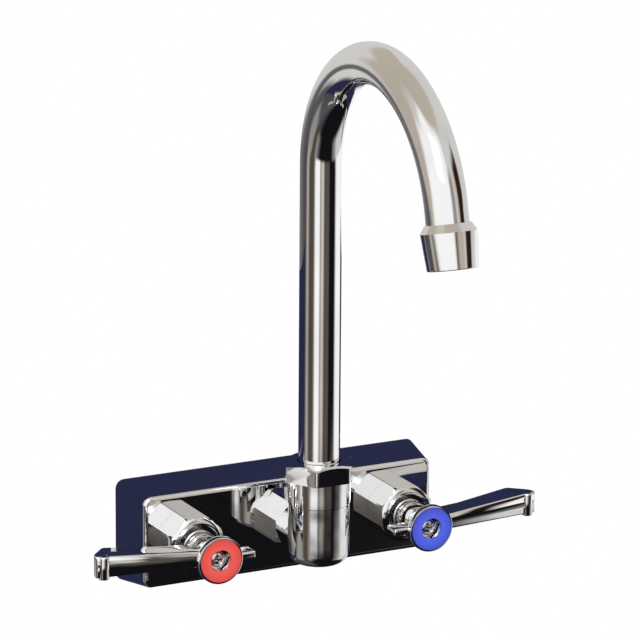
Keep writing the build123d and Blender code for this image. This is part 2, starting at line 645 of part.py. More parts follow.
with BuildPart() as swivel_nut:
    with BuildSketch(riser_level(NUT_BOTTOM)):
        Circle(NUT_SKIRT_RADIUS)
    extrude(amount=NUT_SKIRT_TOP - NUT_BOTTOM)
    with BuildSketch(riser_level(NUT_SKIRT_TOP)):
        RegularPolygon(NUT_FLATS / 2, 6, major_radius=False)
    extrude(amount=NUT_TOP - NUT_SKIRT_TOP)
    # Chamfers take the hexagon's corners off above and below.
    turn(
        RISER_PLANE,
        RISER_AXIS,
        [
            (0, NUT_BOTTOM),
            (NUT_SKIRT_RADIUS, NUT_BOTTOM),
            (NUT_SKIRT_RADIUS, NUT_SKIRT_TOP),
            (NUT_CORNER_RADIUS - NUT_BOTTOM_CHAMFER, NUT_SKIRT_TOP),
            (NUT_CORNER_RADIUS, NUT_SKIRT_TOP + NUT_BOTTOM_CHAMFER),
            (NUT_CORNER_RADIUS, NUT_TOP - NUT_TOP_CHAMFER_HEIGHT),
            (NUT_CORNER_RADIUS - NUT_TOP_CHAMFER_WIDTH, NUT_TOP),
            (0, NUT_TOP),
        ],
        Mode.INTERSECT,
    )
    sink(riser_level(CAP_BOTTOM), NUT_BORE_RADIUS, CAP_BOTTOM)
    sink(riser_level(NUT_TOP), TUBE_RADIUS + LOOSE_FIT, NUT_TOP)
save(swivel_nut, "swivel_nut")

bearing_washer = plain_ring(
    RISER_PLANE, RISER_AXIS, TUBE_RADIUS + LOOSE_FIT, ELBOW_NECK_RADIUS, BEARING_BOTTOM, BEARING_TOP
)
save(bearing_washer, "bearing_washer")

# ---------------------------------------------------------------- gooseneck

TUBE_BOTTOM = COLLAR_TOP
TUBE_BORE_RADIUS = TUBE_RADIUS - TUBE_WALL
RING_FLOOR_RADIUS = TUBE_RADIUS - SPOUT_RING_SECTION - FACE_GAP
RING_GROOVE_HALF = SPOUT_RING_SECTION / 2 + FACE_GAP
RING_LEVELS = {"lower": LOWER_RING_LEVEL, "upper": UPPER_RING_LEVEL}

with BuildPart() as spout_tail:
    with BuildSketch(RISER_PLANE):
        with BuildLine():
            Polyline(
                (SPOUT_TAIL_BORE_RADIUS, SPOUT_TAIL_BOTTOM),
                (TUBE_RADIUS, SPOUT_TAIL_BOTTOM),
                (TUBE_RADIUS, COLLAR_BOTTOM),
                (NUT_BORE_RADIUS - LOOSE_FIT, COLLAR_BOTTOM),
                (NUT_BORE_RADIUS - LOOSE_FIT, COLLAR_TOP),
                (TUBE_BORE_RADIUS - FACE_GAP, COLLAR_TOP),
                (TUBE_BORE_RADIUS - FACE_GAP, COLLAR_TOP + SPOUT_TAIL_SPIGOT),
                (SPOUT_TAIL_BORE_RADIUS, COLLAR_TOP + SPOUT_TAIL_SPIGOT),
                close=True,
            )
        make_face()
        for level in RING_LEVELS.values():
            with Locations(((RING_FLOOR_RADIUS + TUBE_RADIUS) / 2, level)):
                Rectangle(TUBE_RADIUS - RING_FLOOR_RADIUS, 2 * RING_GROOVE_HALF, mode=Mode.SUBTRACT)
    revolve(axis=RISER_AXIS)
save(spout_tail, "spout_tail")

for place, level in RING_LEVELS.items():
    spout_ring = o_ring(RISER_PLANE, RISER_AXIS, TUBE_RADIUS, SPOUT_RING_SECTION, level)
    save(spout_ring, f"spout_o_ring_{place}")

with BuildPart() as gooseneck:
    with BuildLine(Plane.YZ) as route:
        riser = Line((-RISER_DEPTH, TUBE_BOTTOM), (-RISER_DEPTH, RISER_TOP))
        rising = JernArc(riser @ 1, riser % 1, RISING_BEND_RADIUS, RISING_BEND_ANGLE)
        falling = JernArc(rising @ 1, rising % 1, FALLING_BEND_RADIUS, FALLING_BEND_ANGLE)
        spout_end = PolarLine(falling @ 1, SPOUT_END_STRAIGHT + AERATOR_GRIP, direction=falling % 1)
    with BuildSketch(riser_level(TUBE_BOTTOM)):
        Circle(TUBE_RADIUS)
        Circle(TUBE_BORE_RADIUS, mode=Mode.SUBTRACT)
    sweep(path=route.wire())
save(gooseneck, "gooseneck")

# ---------------------------------------------------------------- aerator

SPOUT_DIRECTION = spout_end % 1
TUBE_END = spout_end @ 1
AERATOR_TOP = TUBE_END - SPOUT_DIRECTION * AERATOR_GRIP
AERATOR_AXIS = Axis(AERATOR_TOP, SPOUT_DIRECTION)
# Section plane through the spout's axis: its own y runs down along the outlet.
AERATOR_PLANE = Plane(origin=AERATOR_TOP, x_dir=(1, 0, 0), z_dir=Vector(1, 0, 0).cross(SPOUT_DIRECTION))
AERATOR_BORE_RADIUS = TUBE_RADIUS + THREAD_FIT
AERATOR_SEAT = AERATOR_LENGTH - AERATOR_LIP
WASHER_END = AERATOR_GRIP + AERATOR_WASHER_THICKNESS

with BuildPart() as aerator_housing:
    with BuildSketch(AERATOR_PLANE):
        with BuildLine():
            Polyline(
                (AERATOR_BORE_RADIUS, 0),
                (AERATOR_BORE_RADIUS + AERATOR_TOP_WALL, 0),
                (AERATOR_SHOULDER_RADIUS, AERATOR_SHOULDER),
                (AERATOR_BOTTOM_RADIUS, AERATOR_LENGTH),
                (AERATOR_BORE_RADIUS - AERATOR_LIP_WIDTH, AERATOR_LENGTH),
                (AERATOR_BORE_RADIUS - AERATOR_LIP_WIDTH, AERATOR_SEAT),
                (AERATOR_BORE_RADIUS, AERATOR_SEAT),
                close=True,
            )
        make_face()
    revolve(axis=AERATOR_AXIS)
    bottom_edges = aerator_housing.faces().sort_by(AERATOR_AXIS)[-1].edges()
    fillet(bottom_edges.sort_by(SortBy.RADIUS)[-1], AERATOR_RIM_ROUND)
save(aerator_housing, "aerator_housing")

aerator_washer = plain_ring(
    AERATOR_PLANE,
    AERATOR_AXIS,
    TUBE_RADIUS - AERATOR_WASHER_WIDTH,
    TUBE_RADIUS,
    AERATOR_GRIP,
    WASHER_END,
)
save(aerator_washer, "aerator_washer")

with BuildPart() as aerator_insert:
    insert_back = AERATOR_TOP + SPOUT_DIRECTION * WASHER_END
    with BuildSketch(Plane(origin=insert_back, x_dir=(1, 0, 0), z_dir=SPOUT_DIRECTION)):
        Circle(TUBE_RADIUS)
        Circle(AERATOR_JET_RADIUS, mode=Mode.SUBTRACT)
        with PolarLocations(AERATOR_JET_PITCH, AERATOR_JETS_PER_RING):
            Circle(AERATOR_JET_RADIUS, mode=Mode.SUBTRACT)
        with PolarLocations(2 * AERATOR_JET_PITCH, 2 * AERATOR_JETS_PER_RING):
            Circle(AERATOR_JET_RADIUS, mode=Mode.SUBTRACT)
    extrude(amount=AERATOR_SEAT - WASHER_END)
save(aerator_insert, "aerator_insert")
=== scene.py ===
# %% [markdown]
# # A commercial wall faucet in chrome
# The CAD model is loaded first and stays as it is: it holds every size, and it moves. The pieces made
# here are dressed over it. Most of the real object is polished chrome, and chrome has no colour of
# its own: it shows the room. So this lesson spends its effort on three things: smooth shapes that
# reflect cleanly, a small studio that is worth reflecting, and the fine marks of plating and use.

# %% Load the frame
import math

import bpy
from mathutils import Matrix, Vector


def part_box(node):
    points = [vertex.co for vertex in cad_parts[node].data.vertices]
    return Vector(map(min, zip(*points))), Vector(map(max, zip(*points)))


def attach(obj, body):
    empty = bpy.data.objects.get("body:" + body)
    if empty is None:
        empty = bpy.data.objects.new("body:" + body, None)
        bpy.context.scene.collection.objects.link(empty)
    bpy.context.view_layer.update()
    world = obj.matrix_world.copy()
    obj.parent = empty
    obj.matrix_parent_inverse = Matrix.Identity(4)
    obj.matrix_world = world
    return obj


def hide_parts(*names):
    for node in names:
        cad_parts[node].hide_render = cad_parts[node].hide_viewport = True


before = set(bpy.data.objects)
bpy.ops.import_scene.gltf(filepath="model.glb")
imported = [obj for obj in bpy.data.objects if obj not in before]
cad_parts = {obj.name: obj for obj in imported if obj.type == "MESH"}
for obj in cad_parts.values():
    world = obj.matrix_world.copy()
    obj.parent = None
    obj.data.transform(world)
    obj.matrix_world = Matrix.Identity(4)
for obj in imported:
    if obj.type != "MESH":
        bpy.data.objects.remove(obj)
bpy.ops.object.select_all(action="DESELECT")
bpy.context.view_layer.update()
MM = 0.001

# %% [markdown]
# ## The camera
# The photograph was taken from the left and a little above, with a long lens from about two metres.
# A short lens close by would show the block wider than the spout behind it. The aim point, the
# angles and the lens were fitted to the photograph, so the model falls on it.

# %% Camera
IMAGE_PIXELS = 640
SENSOR_WIDTH = 36.0
CAMERA_AZIMUTH = math.radians(-26.92)
CAMERA_ELEVATION = math.radians(15.50)
CAMERA_ROLL = math.radians(0.395)
CAMERA_DISTANCE = 1964.6 * MM
CAMERA_AIM = Vector((-9.66, -70.0, 104.16)) * MM
FOCAL_PIXELS = 4660.6


def camera_axes(azimuth, elevation, roll):
    """The camera's right, up and back directions."""
    level = math.cos(elevation)
    back = Vector((math.sin(azimuth) * level, -math.cos(azimuth) * level, math.sin(elevation)))
    right = Vector((math.cos(azimuth), math.sin(azimuth), 0.0))
    up = back.cross(right)
    turned_right = math.cos(roll) * right + math.sin(roll) * up
    turned_up = math.cos(roll) * up - math.sin(roll) * right
    return turned_right, turned_up, back


right, up, back = camera_axes(CAMERA_AZIMUTH, CAMERA_ELEVATION, CAMERA_ROLL)
camera_data = bpy.data.cameras.new("photo_camera")
camera_data.sensor_width = SENSOR_WIDTH
camera_data.lens = FOCAL_PIXELS * SENSOR_WIDTH / IMAGE_PIXELS
camera = bpy.data.objects.new("photo_camera", camera_data)
bpy.context.scene.collection.objects.link(camera)
place = Matrix((right, up, back)).transposed().to_4x4()
place.translation = CAMERA_AIM + back * CAMERA_DISTANCE
camera.matrix_world = place
bpy.context.scene.camera = camera
bpy.context.scene.view_settings.view_transform = "Standard"
print("lens in mm:", round(camera_data.lens, 1))

# %% [markdown]
# ## Nodes
# The world and every material are trees of nodes. A node is added, set and linked in one call here,
# so a tree reads in order. Laid out link by link it would be three times as long.

# %% Node helpers
def feed(node, inputs):
    """Set a node's inputs, each to a value or to another node's output."""
    for name, value in inputs.items():
        if isinstance(value, bpy.types.NodeSocket):
            node.id_data.links.new(value, node.inputs[name])
        else:
            node.inputs[name].default_value = value


def add_node(tree, kind, inputs, **settings):
    """Shader node with its settings and inputs."""
    node = tree.nodes.new("ShaderNode" + kind)
    for name, value in settings.items():
        setattr(node, name, value)
    feed(node, inputs)
    return node


def combine(operation, *values):
    """Math of a node's output and one or two more values, in that node's tree."""
    tree = values[0].id_data
    return add_node(tree, "Math", dict(enumerate(values)), operation=operation).outputs["Value"]


def blend(factor, first, second, kind="FLOAT"):
    """Value or colour between two others."""
    inputs = {"Factor": factor, "A": first, "B": second}
    return add_node(factor.id_data, "Mix", inputs, data_type=kind).outputs["Result"]


def bare_material(name):
    """Material without a node, and its tree."""
    material = bpy.data.materials.new(name)
    material.use_nodes = True
    material.node_tree.nodes.clear()
    return material, material.node_tree


def shader_of(material):
    """The shader that a new material comes with."""
    return material.node_tree.nodes["Principled BSDF"]


def new_finish(name, metallic, roughness):
    """Material with its shader, and the object's own coordinates in metres."""
    material = bpy.data.materials.new(name)
    material.use_nodes = True
    feed(shader_of(material), {"Metallic": metallic, "Roughness": roughness})
    return material, add_node(material.node_tree, "TexCoord", {}).outputs["Object"]


print("nodes are made in Blender", bpy.app.version_string)

# %% [markdown]
# ## The white world
# The photograph's background is pure white. Wherever the camera, a reflection or clear glass looks
# past everything, the world is white at strength 1. What lights the object is a plainer level, so a
# coloured ring renders about as its colour is written. One could light the object until the
# background burns out, but then its colours would burn out too.

# %% World
DIFFUSE_LEVEL = 0.85
WHITE_LEVEL = 1.0
WHITE = (1, 1, 1, 1)

world = bpy.data.worlds.new("white_world")
bpy.context.scene.world = world
world.use_nodes = True
tree = world.node_tree
tree.nodes.clear()
paths = add_node(tree, "LightPath", {})
seen = paths.outputs["Is Camera Ray"]
for ray in ("Is Glossy Ray", "Is Transmission Ray"):
    seen = combine("MAXIMUM", seen, paths.outputs[ray])
fill = add_node(tree, "Background", {"Color": WHITE, "Strength": DIFFUSE_LEVEL})
white = add_node(tree, "Background", {"Color": WHITE, "Strength": WHITE_LEVEL})
shown = add_node(
    tree, "MixShader", {"Fac": seen, 1: fill.outputs["Background"], 2: white.outputs["Background"]}
)
add_node(tree, "OutputWorld", {"Surface": shown.outputs["Shader"]})
print("world for light:", DIFFUSE_LEVEL, "world that is seen:", WHITE_LEVEL)

# %% [markdown]
# ## The room that the chrome shows
# The shape of chrome only shows where something dark meets something light. The reflections in the
# photograph tell what stood there: a wide bright window behind the camera, pale walls, a beige
# ceiling, a dark doorway on the right, a dark floor, and a navy board just behind the faucet.

# %% Studio colours
# Screen colours from 0 to 255; the fourth number is 0 where the dome is open.
OPEN = (252, 250, 246, 0)
PALE = (212, 210, 206, 1)
GREY = (150, 148, 145, 1)
BEIGE = (188, 179, 166, 1)
SLATE = (88, 87, 92, 1)
BROWN = (84, 74, 65, 1)
UMBER = (50, 30, 22, 1)
BLACK = (19, 18, 20, 1)
NAVY = (42, 45, 73, 1)


def linear(colour):
    """Screen colour from 0 to 255 as the linear colour that shaders use."""
    def channel(value):
        share = value / 255
        return share / 12.92 if share <= 0.04045 else ((share + 0.055) / 1.055) ** 2.4
    return tuple(channel(value) for value in colour[:3])


print("navy as a linear colour:", [round(channel, 3) for channel in linear(NAVY)])

# %% [markdown]
# ## The room's walls
# The walls are one dome, painted in rows of soft patches from the floor up. Where it is open, the
# white world shows through it. Only reflections see the dome, and it casts no light or shadow.

# %% Rows of patches, from the floor up
# Degrees round the object from the camera's direction, positive to the image's right.
FLOOR_ROW = [(-180, BLACK), (-60, SLATE), (-20, BLACK), (180, BLACK)]
SKIRT_ROW = [
    (-180, SLATE), (-164, BLACK), (-154, GREY), (-145, PALE), (-118, PALE),
    (-108, SLATE), (-94, SLATE), (-84, GREY), (-64, GREY), (-56, BROWN),
    (-44, BROWN), (-34, GREY), (-22, SLATE), (-10, BLACK), (56, BLACK),
    (76, GREY), (92, PALE), (124, PALE), (133, SLATE), (140, OPEN),
    (168, OPEN), (180, SLATE),
]
LOW_ROW = [
    (-180, GREY), (-112, SLATE), (-96, BROWN), (-86, SLATE), (-78, BEIGE),
    (-70, GREY), (-62, BROWN), (-42, BROWN), (-34, GREY), (-26, OPEN),
    (-8, OPEN), (-3, GREY), (3, BEIGE), (9, PALE), (15, BEIGE),
    (22, BROWN), (38, SLATE), (45, BROWN), (51, BLACK), (80, BLACK),
    (90, PALE), (98, OPEN), (180, OPEN),
]
WALL_ROW = [
    (-180, PALE), (-124, PALE), (-112, BEIGE), (-76, BEIGE), (-58, OPEN),
    (14, OPEN), (26, BROWN), (38, BEIGE), (54, BEIGE), (62, PALE),
    (70, UMBER), (90, UMBER), (97, PALE), (180, PALE),
]
HIGH_ROW = [
    (-180, PALE), (-128, PALE), (-118, BEIGE), (-78, BEIGE), (-60, OPEN),
    (24, OPEN), (34, GREY), (46, GREY), (54, PALE), (64, BEIGE),
    (72, UMBER), (94, UMBER), (104, PALE), (180, PALE),
]
UPPER_ROW = [
    (-180, BEIGE), (-96, BEIGE), (-64, PALE), (-48, OPEN), (20, OPEN),
    (40, PALE), (180, PALE),
]
CEILING_ROW = [(-180, BEIGE), (180, BEIGE)]
# Each row above the floor, with the degrees between which it takes over from the row under it.
RISING_ROWS = [
    (SKIRT_ROW, (-46, -34)), (LOW_ROW, (-22, -17)), (WALL_ROW, (-11, -5)), (HIGH_ROW, (4, 10)),
    (UPPER_ROW, (28, 40)), (CEILING_ROW, (54, 68)),
]
print("rows of patches:", 1 + len(RISING_ROWS))


# %% Dome material
DOME_CENTRE = Vector((0, -60, 100)) * MM


def row_ramp(share, stops):
    """Colour and closedness of one row over the turn round the object."""
    ramp = add_node(share.id_data, "ValToRGB", {"Fac": share})
    elements = ramp.color_ramp.elements
    elements.remove(elements[0])
    for index, (degrees, colour) in enumerate(stops):
        position = degrees / 360 + 0.5
        element = elements[0] if index == 0 else elements.new(position)
        element.position = position
        element.color = (*linear(colour), colour[3])
    return ramp.outputs["Color"], ramp.outputs["Alpha"]


def stack_rows(height, share):
    """Colour and closedness of the dome, row over row with soft seams."""
    colour, closed = row_ramp(share, FLOOR_ROW)
    for stops, seam in RISING_ROWS:
        low, high = (math.sin(math.radians(degrees)) for degrees in seam)
        inputs = {"Value": height, "From Min": low, "From Max": high}
        soft_seam = add_node(height.id_data, "MapRange", inputs, interpolation_type="SMOOTHSTEP")
        mask = soft_seam.outputs["Result"]
        row_colour, row_closed = row_ramp(share, stops)
        colour = blend(mask, colour, row_colour, "RGBA")
        closed = blend(mask, closed, row_closed)
    return colour, closed


def dome_material():
    """Walls that glow in their own colours and are open where the world shows."""
    material, tree = bare_material("room_walls")
    spot = add_node(tree, "TexCoord", {}).outputs["Object"]
    centred = add_node(tree, "VectorMath", {0: spot, 1: DOME_CENTRE}, operation="SUBTRACT")
    unit = add_node(tree, "VectorMath", {0: centred.outputs["Vector"]}, operation="NORMALIZE")
    rotation = (0, 0, math.pi / 2 - CAMERA_AZIMUTH)
    turned = add_node(tree, "Mapping", {"Vector": unit.outputs["Vector"], "Rotation": rotation})
    split = add_node(tree, "SeparateXYZ", {"Vector": turned.outputs["Vector"]})
    angle = combine("ARCTAN2", split.outputs["Y"], split.outputs["X"])
    share = add_node(tree, "MapRange", {"Value": angle, "From Min": -math.pi, "From Max": math.pi})
    colour, closed = stack_rows(split.outputs["Z"], share.outputs["Result"])
    glow = add_node(tree, "Emission", {"Color": colour}).outputs["Emission"]
    opening = add_node(tree, "BsdfTransparent", {}).outputs["BSDF"]
    wall = add_node(tree, "MixShader", {"Fac": closed, 1: opening, 2: glow})
    add_node(tree, "OutputMaterial", {"Surface": wall.outputs["Shader"]})
    return material


room_walls = dome_material()
print("the dome's material has", len(room_walls.node_tree.nodes), "nodes")

# %% Dome
DOME_RADIUS = 2600 * MM
DOME_SEGMENTS, DOME_RINGS = 96, 48


def only_reflected(piece, material):
    """Make a stage piece that nothing but a reflection sees."""
    piece.data.materials.append(material)
    for ray in ("camera", "diffuse", "transmission", "shadow"):
        setattr(piece, f"visible_{ray}", False)
    piece.select_set(False)


bpy.ops.mesh.primitive_uv_sphere_add(
    segments=DOME_SEGMENTS, ring_count=DOME_RINGS, radius=DOME_RADIUS, location=DOME_CENTRE
)
bpy.ops.object.transform_apply(location=True, rotation=False, scale=False)
dome = bpy.context.object
dome.name = "room_dome"
only_reflected(dome, room_walls)
print("dome:", round(2 * DOME_RADIUS, 1), "m wide")

# %% [markdown]
# ## The navy board
# The dark board hangs on the wall behind the faucet, and the backs of the round parts show it. It is
# made of four strips with an opening behind the block, so the block's own back faces the white world.

# %% Board behind the faucet
BOARD_LEFT, BOARD_RIGHT = -112 * MM, 175 * MM
BOARD_BOTTOM, BOARD_TOP = -60 * MM, 106 * MM
BOARD_GAP = 6 * MM


def board_strip(name, left, right, bottom, top):
    """Upright strip of the board between these edges."""
    middle = ((left + right) / 2, BOARD_GAP, (bottom + top) / 2)
    bpy.ops.mesh.primitive_plane_add(size=1, location=middle, rotation=(math.pi / 2, 0, 0))
    strip = bpy.context.object
    strip.name = name
    strip.scale = (right - left, top - bottom, 1)
    only_reflected(strip, navy)


navy, tree = bare_material("navy_board")
glow = add_node(tree, "Emission", {"Color": (*linear(NAVY), 1)})
add_node(tree, "OutputMaterial", {"Surface": glow.outputs["Emission"]})
block_low, block_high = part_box("body")
board_strip("board_top", BOARD_LEFT, BOARD_RIGHT, block_high[2], BOARD_TOP)
board_strip("board_bottom", BOARD_LEFT, BOARD_RIGHT, BOARD_BOTTOM, block_low[2])
board_strip("board_left", BOARD_LEFT, block_low[0], block_low[2], block_high[2])
board_strip("board_right", block_high[0], BOARD_RIGHT, block_low[2], block_high[2])
board_size = (BOARD_RIGHT - BOARD_LEFT, BOARD_TOP - BOARD_BOTTOM)
print("board in mm:", [round(length / MM) for length in board_size])

# %% [markdown]
# ## Floor and lamp
# A wall faucet stands on nothing, so the floor lies well below it, plain and pale, and takes a soft
# shadow. One large lamp near the camera gives the coloured rings a side that is a little lighter.

# %% Floor
FLOOR_LEVEL = -300 * MM
FLOOR_RADIUS = 550 * MM
FLOOR_SIDES = 96
FLOOR_COLOUR, FLOOR_ROUGHNESS = (0.9, 0.9, 0.9, 1), 0.9
bpy.ops.mesh.primitive_circle_add(
    vertices=FLOOR_SIDES, radius=FLOOR_RADIUS, fill_type="NGON", location=(0, 0, FLOOR_LEVEL)
)
floor = bpy.context.object
floor.name = "floor"
floor.visible_glossy = False
floor.select_set(False)
pale, _ = new_finish("pale_floor", 0.0, FLOOR_ROUGHNESS)
feed(shader_of(pale), {"Base Color": FLOOR_COLOUR})
floor.data.materials.append(pale)
print("floor", round(-FLOOR_LEVEL / MM), "mm below the valve axes")

# %% Lamp
LAMP_PLACE = Vector((-0.8, -1.2, 1.3))
LAMP_SIZE = 0.8
LAMP_POWER = 12
LAMP_AIM = Vector((0, -0.06, 0.1))
lamp_data = bpy.data.lights.new("key_light", "AREA")
lamp_data.size = LAMP_SIZE
lamp_data.energy = LAMP_POWER
lamp = bpy.data.objects.new("key_light", lamp_data)
lamp.location = LAMP_PLACE
lamp.rotation_euler = (LAMP_AIM - LAMP_PLACE).to_track_quat("-Z", "Y").to_euler()
bpy.context.scene.collection.objects.link(lamp)
print("lamp at", [round(value, 2) for value in LAMP_PLACE], "m,", LAMP_POWER, "W")

# %% [markdown]
# ## Finishes: shared helpers
# A finish is rarely one number. Plating has soft waves, wiping marks and a few dried drops, and
# turned brass has rings from the tool. Each mark is a texture over the object's own millimetres, so
# its scale is real on every piece.

# %% Material helpers
# Nearly all of a noise lies between these values.
NOISE_RANGE = (0.3, 0.7)
FULL_RANGE = (0.0, 1.0)
COARSE, FINE, FINEST = 2.0, 3.0, 4.0


def placed(place, centre=(0, 0, 0), stretch=(1, 1, 1)):
    """Coordinates moved so that a point in millimetres is their origin, then stretched."""
    shift = [-length * MM * factor for length, factor in zip(centre, stretch)]
    inputs = {"Vector": place, "Location": shift, "Scale": stretch}
    return add_node(place.id_data, "Mapping", inputs).outputs["Vector"]


def grain(place, width, detail=COARSE):
    """Soft noise whose blotches are about this many millimetres wide, from 0 to 1."""
    inputs = {"Vector": place, "Scale": 1 / (width * MM), "Detail": detail}
    return add_node(place.id_data, "TexNoise", inputs).outputs["Fac"]


def spread(value, target, source=NOISE_RANGE):
    """Value stretched from its own range to another one."""
    ends = {"From Min": source[0], "From Max": source[1], "To Min": target[0], "To Max": target[1]}
    return add_node(value.id_data, "MapRange", {"Value": value, **ends}).outputs["Result"]


def two_tone(factor, *tones):
    """Colour between two others, each three linear numbers or a node's output."""
    first, second = ((*tone, 1.0) if isinstance(tone, tuple) else tone for tone in tones)
    return blend(factor, first, second, "RGBA")


def along(place, axis):
    """One coordinate, in metres."""
    return add_node(place.id_data, "SeparateXYZ", {"Vector": place}).outputs[axis]


def distance_from_axis(place, centre, axis):
    """Distance in metres from a line through a point in millimetres, along x, y or z."""
    flat = placed(place, centre, tuple(0 if letter == axis else 1 for letter in "xyz"))
    return add_node(flat.id_data, "VectorMath", {0: flat}, operation="LENGTH").outputs["Value"]


def complete(material, colour, roughness, height, depth):
    """Link colour, roughness and a relief of this many millimetres to a material's shader."""
    bump = add_node(material.node_tree, "Bump", {"Height": height, "Distance": depth * MM})
    inputs = {"Base Color": colour, "Roughness": roughness, "Normal": bump.outputs["Normal"]}
    feed(shader_of(material), inputs)
    return material


print("noise is stretched from", NOISE_RANGE)

# %% [markdown]
# ## Polished chrome
# Chrome plate is a mirror with a slightly cool grey of its own. The polishing wheel leaves shallow
# waves a few centimetres long, which bend the reflected streaks a little. Wiping leaves fine marks
# that dull the mirror in streaks, and drops that dried leave faint rings.

# %% Chrome values
CHROME_LIGHT = (0.93, 0.925, 0.92)
CHROME_DEEP = (0.84, 0.84, 0.85)
PLATE_ROUGHNESS = 0.03
CLOUD_WIDTH = 22
CHROME_WAVE, WAVE_WIDTH = 0.012, 38
CAST_WAVE, CAST_WAVE_WIDTH = 0.12, 10
WAVE_DETAIL = 0.0
WIPE_WIDTH, WIPE_STRETCH = 1.6, (0.10, 1.0, 1.0)
WIPE_ROUGHNESS = (0.012, 0.05)
# A dried drop's ring, as shares of the drops' spacing, and where such drops are found.
DROP_SPACING, DROP_RING, DROP_RING_HALF = 9.0, 0.13, 0.025
DROP_AREA_WIDTH, DROP_AREA_RANGE = 30, (0.5, 0.7)
DROP_ROUGHNESS = (0.0, 0.05)
print("waves on plate", WAVE_WIDTH, "mm long, on castings", CAST_WAVE_WIDTH, "mm long")


# %% Chrome
def chrome_marks(place):
    """Roughness of plate from wiping marks and dried drops."""
    streaks = grain(placed(place, stretch=WIPE_STRETCH), WIPE_WIDTH, FINEST)
    wiped = spread(streaks, WIPE_ROUGHNESS)
    inputs = {"Vector": place, "Scale": 1 / (DROP_SPACING * MM)}
    drops = add_node(place.id_data, "TexVoronoi", inputs)
    ring = combine("COMPARE", drops.outputs["Distance"], DROP_RING, DROP_RING_HALF)
    sparse = spread(grain(place, DROP_AREA_WIDTH), DROP_ROUGHNESS, DROP_AREA_RANGE)
    return combine("ADD", wiped, combine("MULTIPLY", ring, sparse))


def plate_colour(place):
    """Chrome's own grey, in soft clouds."""
    cloud = spread(grain(place, CLOUD_WIDTH, FINE), FULL_RANGE)
    return two_tone(cloud, CHROME_LIGHT, CHROME_DEEP)


def chrome_finish(name, wave_width, wave_height):
    """Polished chrome plate with waves of this width and height in millimetres."""
    material, place = new_finish(name, 1.0, PLATE_ROUGHNESS)
    colour, roughness = plate_colour(place), chrome_marks(place)
    waves = grain(place, wave_width, WAVE_DETAIL)
    return complete(material, colour, roughness, waves, wave_height)


chrome = chrome_finish("chrome_plate", WAVE_WIDTH, CHROME_WAVE)
cast_chrome = chrome_finish("cast_chrome_plate", CAST_WAVE_WIDTH, CAST_WAVE)
print("chrome waves are", CHROME_WAVE, "mm high on plate and", CAST_WAVE, "mm on castings")

# %% [markdown]
# ## The block's finish
# The wall face and the ports of the block are machined brass. A mask by place changes the finish
# within one material.

# %% Block: plate outside, bare brass at the wall and in the ports
VALVE_X = (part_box("cold_bonnet_nut")[0][0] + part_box("cold_bonnet_nut")[1][0]) / 2 / MM
VALVE_AXES = {"hot": (-VALVE_X, 0, 0), "cold": (VALVE_X, 0, 0)}
BRASS_LIGHT = (0.80, 0.62, 0.32)
BRASS_DEEP = (0.56, 0.38, 0.16)
PORT_RADIUS = 11.4
WALL_FACE_DEPTH = 0.35
BARE_WIDTH = 4
MILLED_WIDTH, MILLED_STRETCH = 0.5, (1, 1, 0.08)
MILLED_ROUGHNESS = (0.22, 0.40)


def block_finish(name):
    """Chrome plate that gives way to machined brass on the wall face and in the ports."""
    material, place = new_finish(name, 1.0, PLATE_ROUGHNESS)
    bare = combine("GREATER_THAN", along(place, "Y"), -WALL_FACE_DEPTH * MM)
    for centre in VALVE_AXES.values():
        near = distance_from_axis(place, centre, "y")
        bare = combine("MAXIMUM", bare, combine("LESS_THAN", near, PORT_RADIUS * MM))
    metal = two_tone(grain(place, BARE_WIDTH, FINEST), BRASS_LIGHT, BRASS_DEEP)
    colour = two_tone(bare, plate_colour(place), metal)
    strokes = grain(placed(place, stretch=MILLED_STRETCH), MILLED_WIDTH)
    milled = spread(strokes, MILLED_ROUGHNESS)
    roughness = blend(bare, chrome_marks(place), milled)
    waves = grain(place, WAVE_WIDTH, WAVE_DETAIL)
    return complete(material, colour, roughness, waves, CHROME_WAVE)


block_chrome = block_finish("block_plate")
print("valve axes at", round(VALVE_X, 1), "mm from the middle")

# %% [markdown]
# ## Turned brass and steel
# The cartridge, its stem and the spout's tail are turned on a lathe. The tool leaves rings round the
# axis, about a quarter of a millimetre apart, and the bare metal darkens in patches as it ages. A
# wave texture round each part's own axis makes those rings, where a plain noise would look cast.

# %% Turned metal
TOOL_PITCH = 0.25
# Metres over which a wave texture of scale 1 repeats.
WAVE_PERIOD = math.pi / 10
TOOL_WOBBLE = 0.4
TOOL_ROUGHNESS, TOOL_DEPTH = 0.08, 0.006
TARNISH_WIDTH = 6
CLEAN_SHARE, TARNISHED_SHARE = 0.8, 1.4


def tool_marks(place, axis):
    """Rings round an axis and bands along it, from 0 to 1."""
    inputs = {"Vector": place, "Scale": WAVE_PERIOD / (TOOL_PITCH * MM), "Distortion": TOOL_WOBBLE}
    tree, letter = place.id_data, axis.upper()
    rings = add_node(tree, "TexWave", inputs, wave_type="RINGS", rings_direction=letter)
    bands = add_node(tree, "TexWave", inputs, wave_type="BANDS", bands_direction=letter)
    total = combine("ADD", rings.outputs["Fac"], bands.outputs["Fac"])
    return combine("MULTIPLY", total, 0.5)


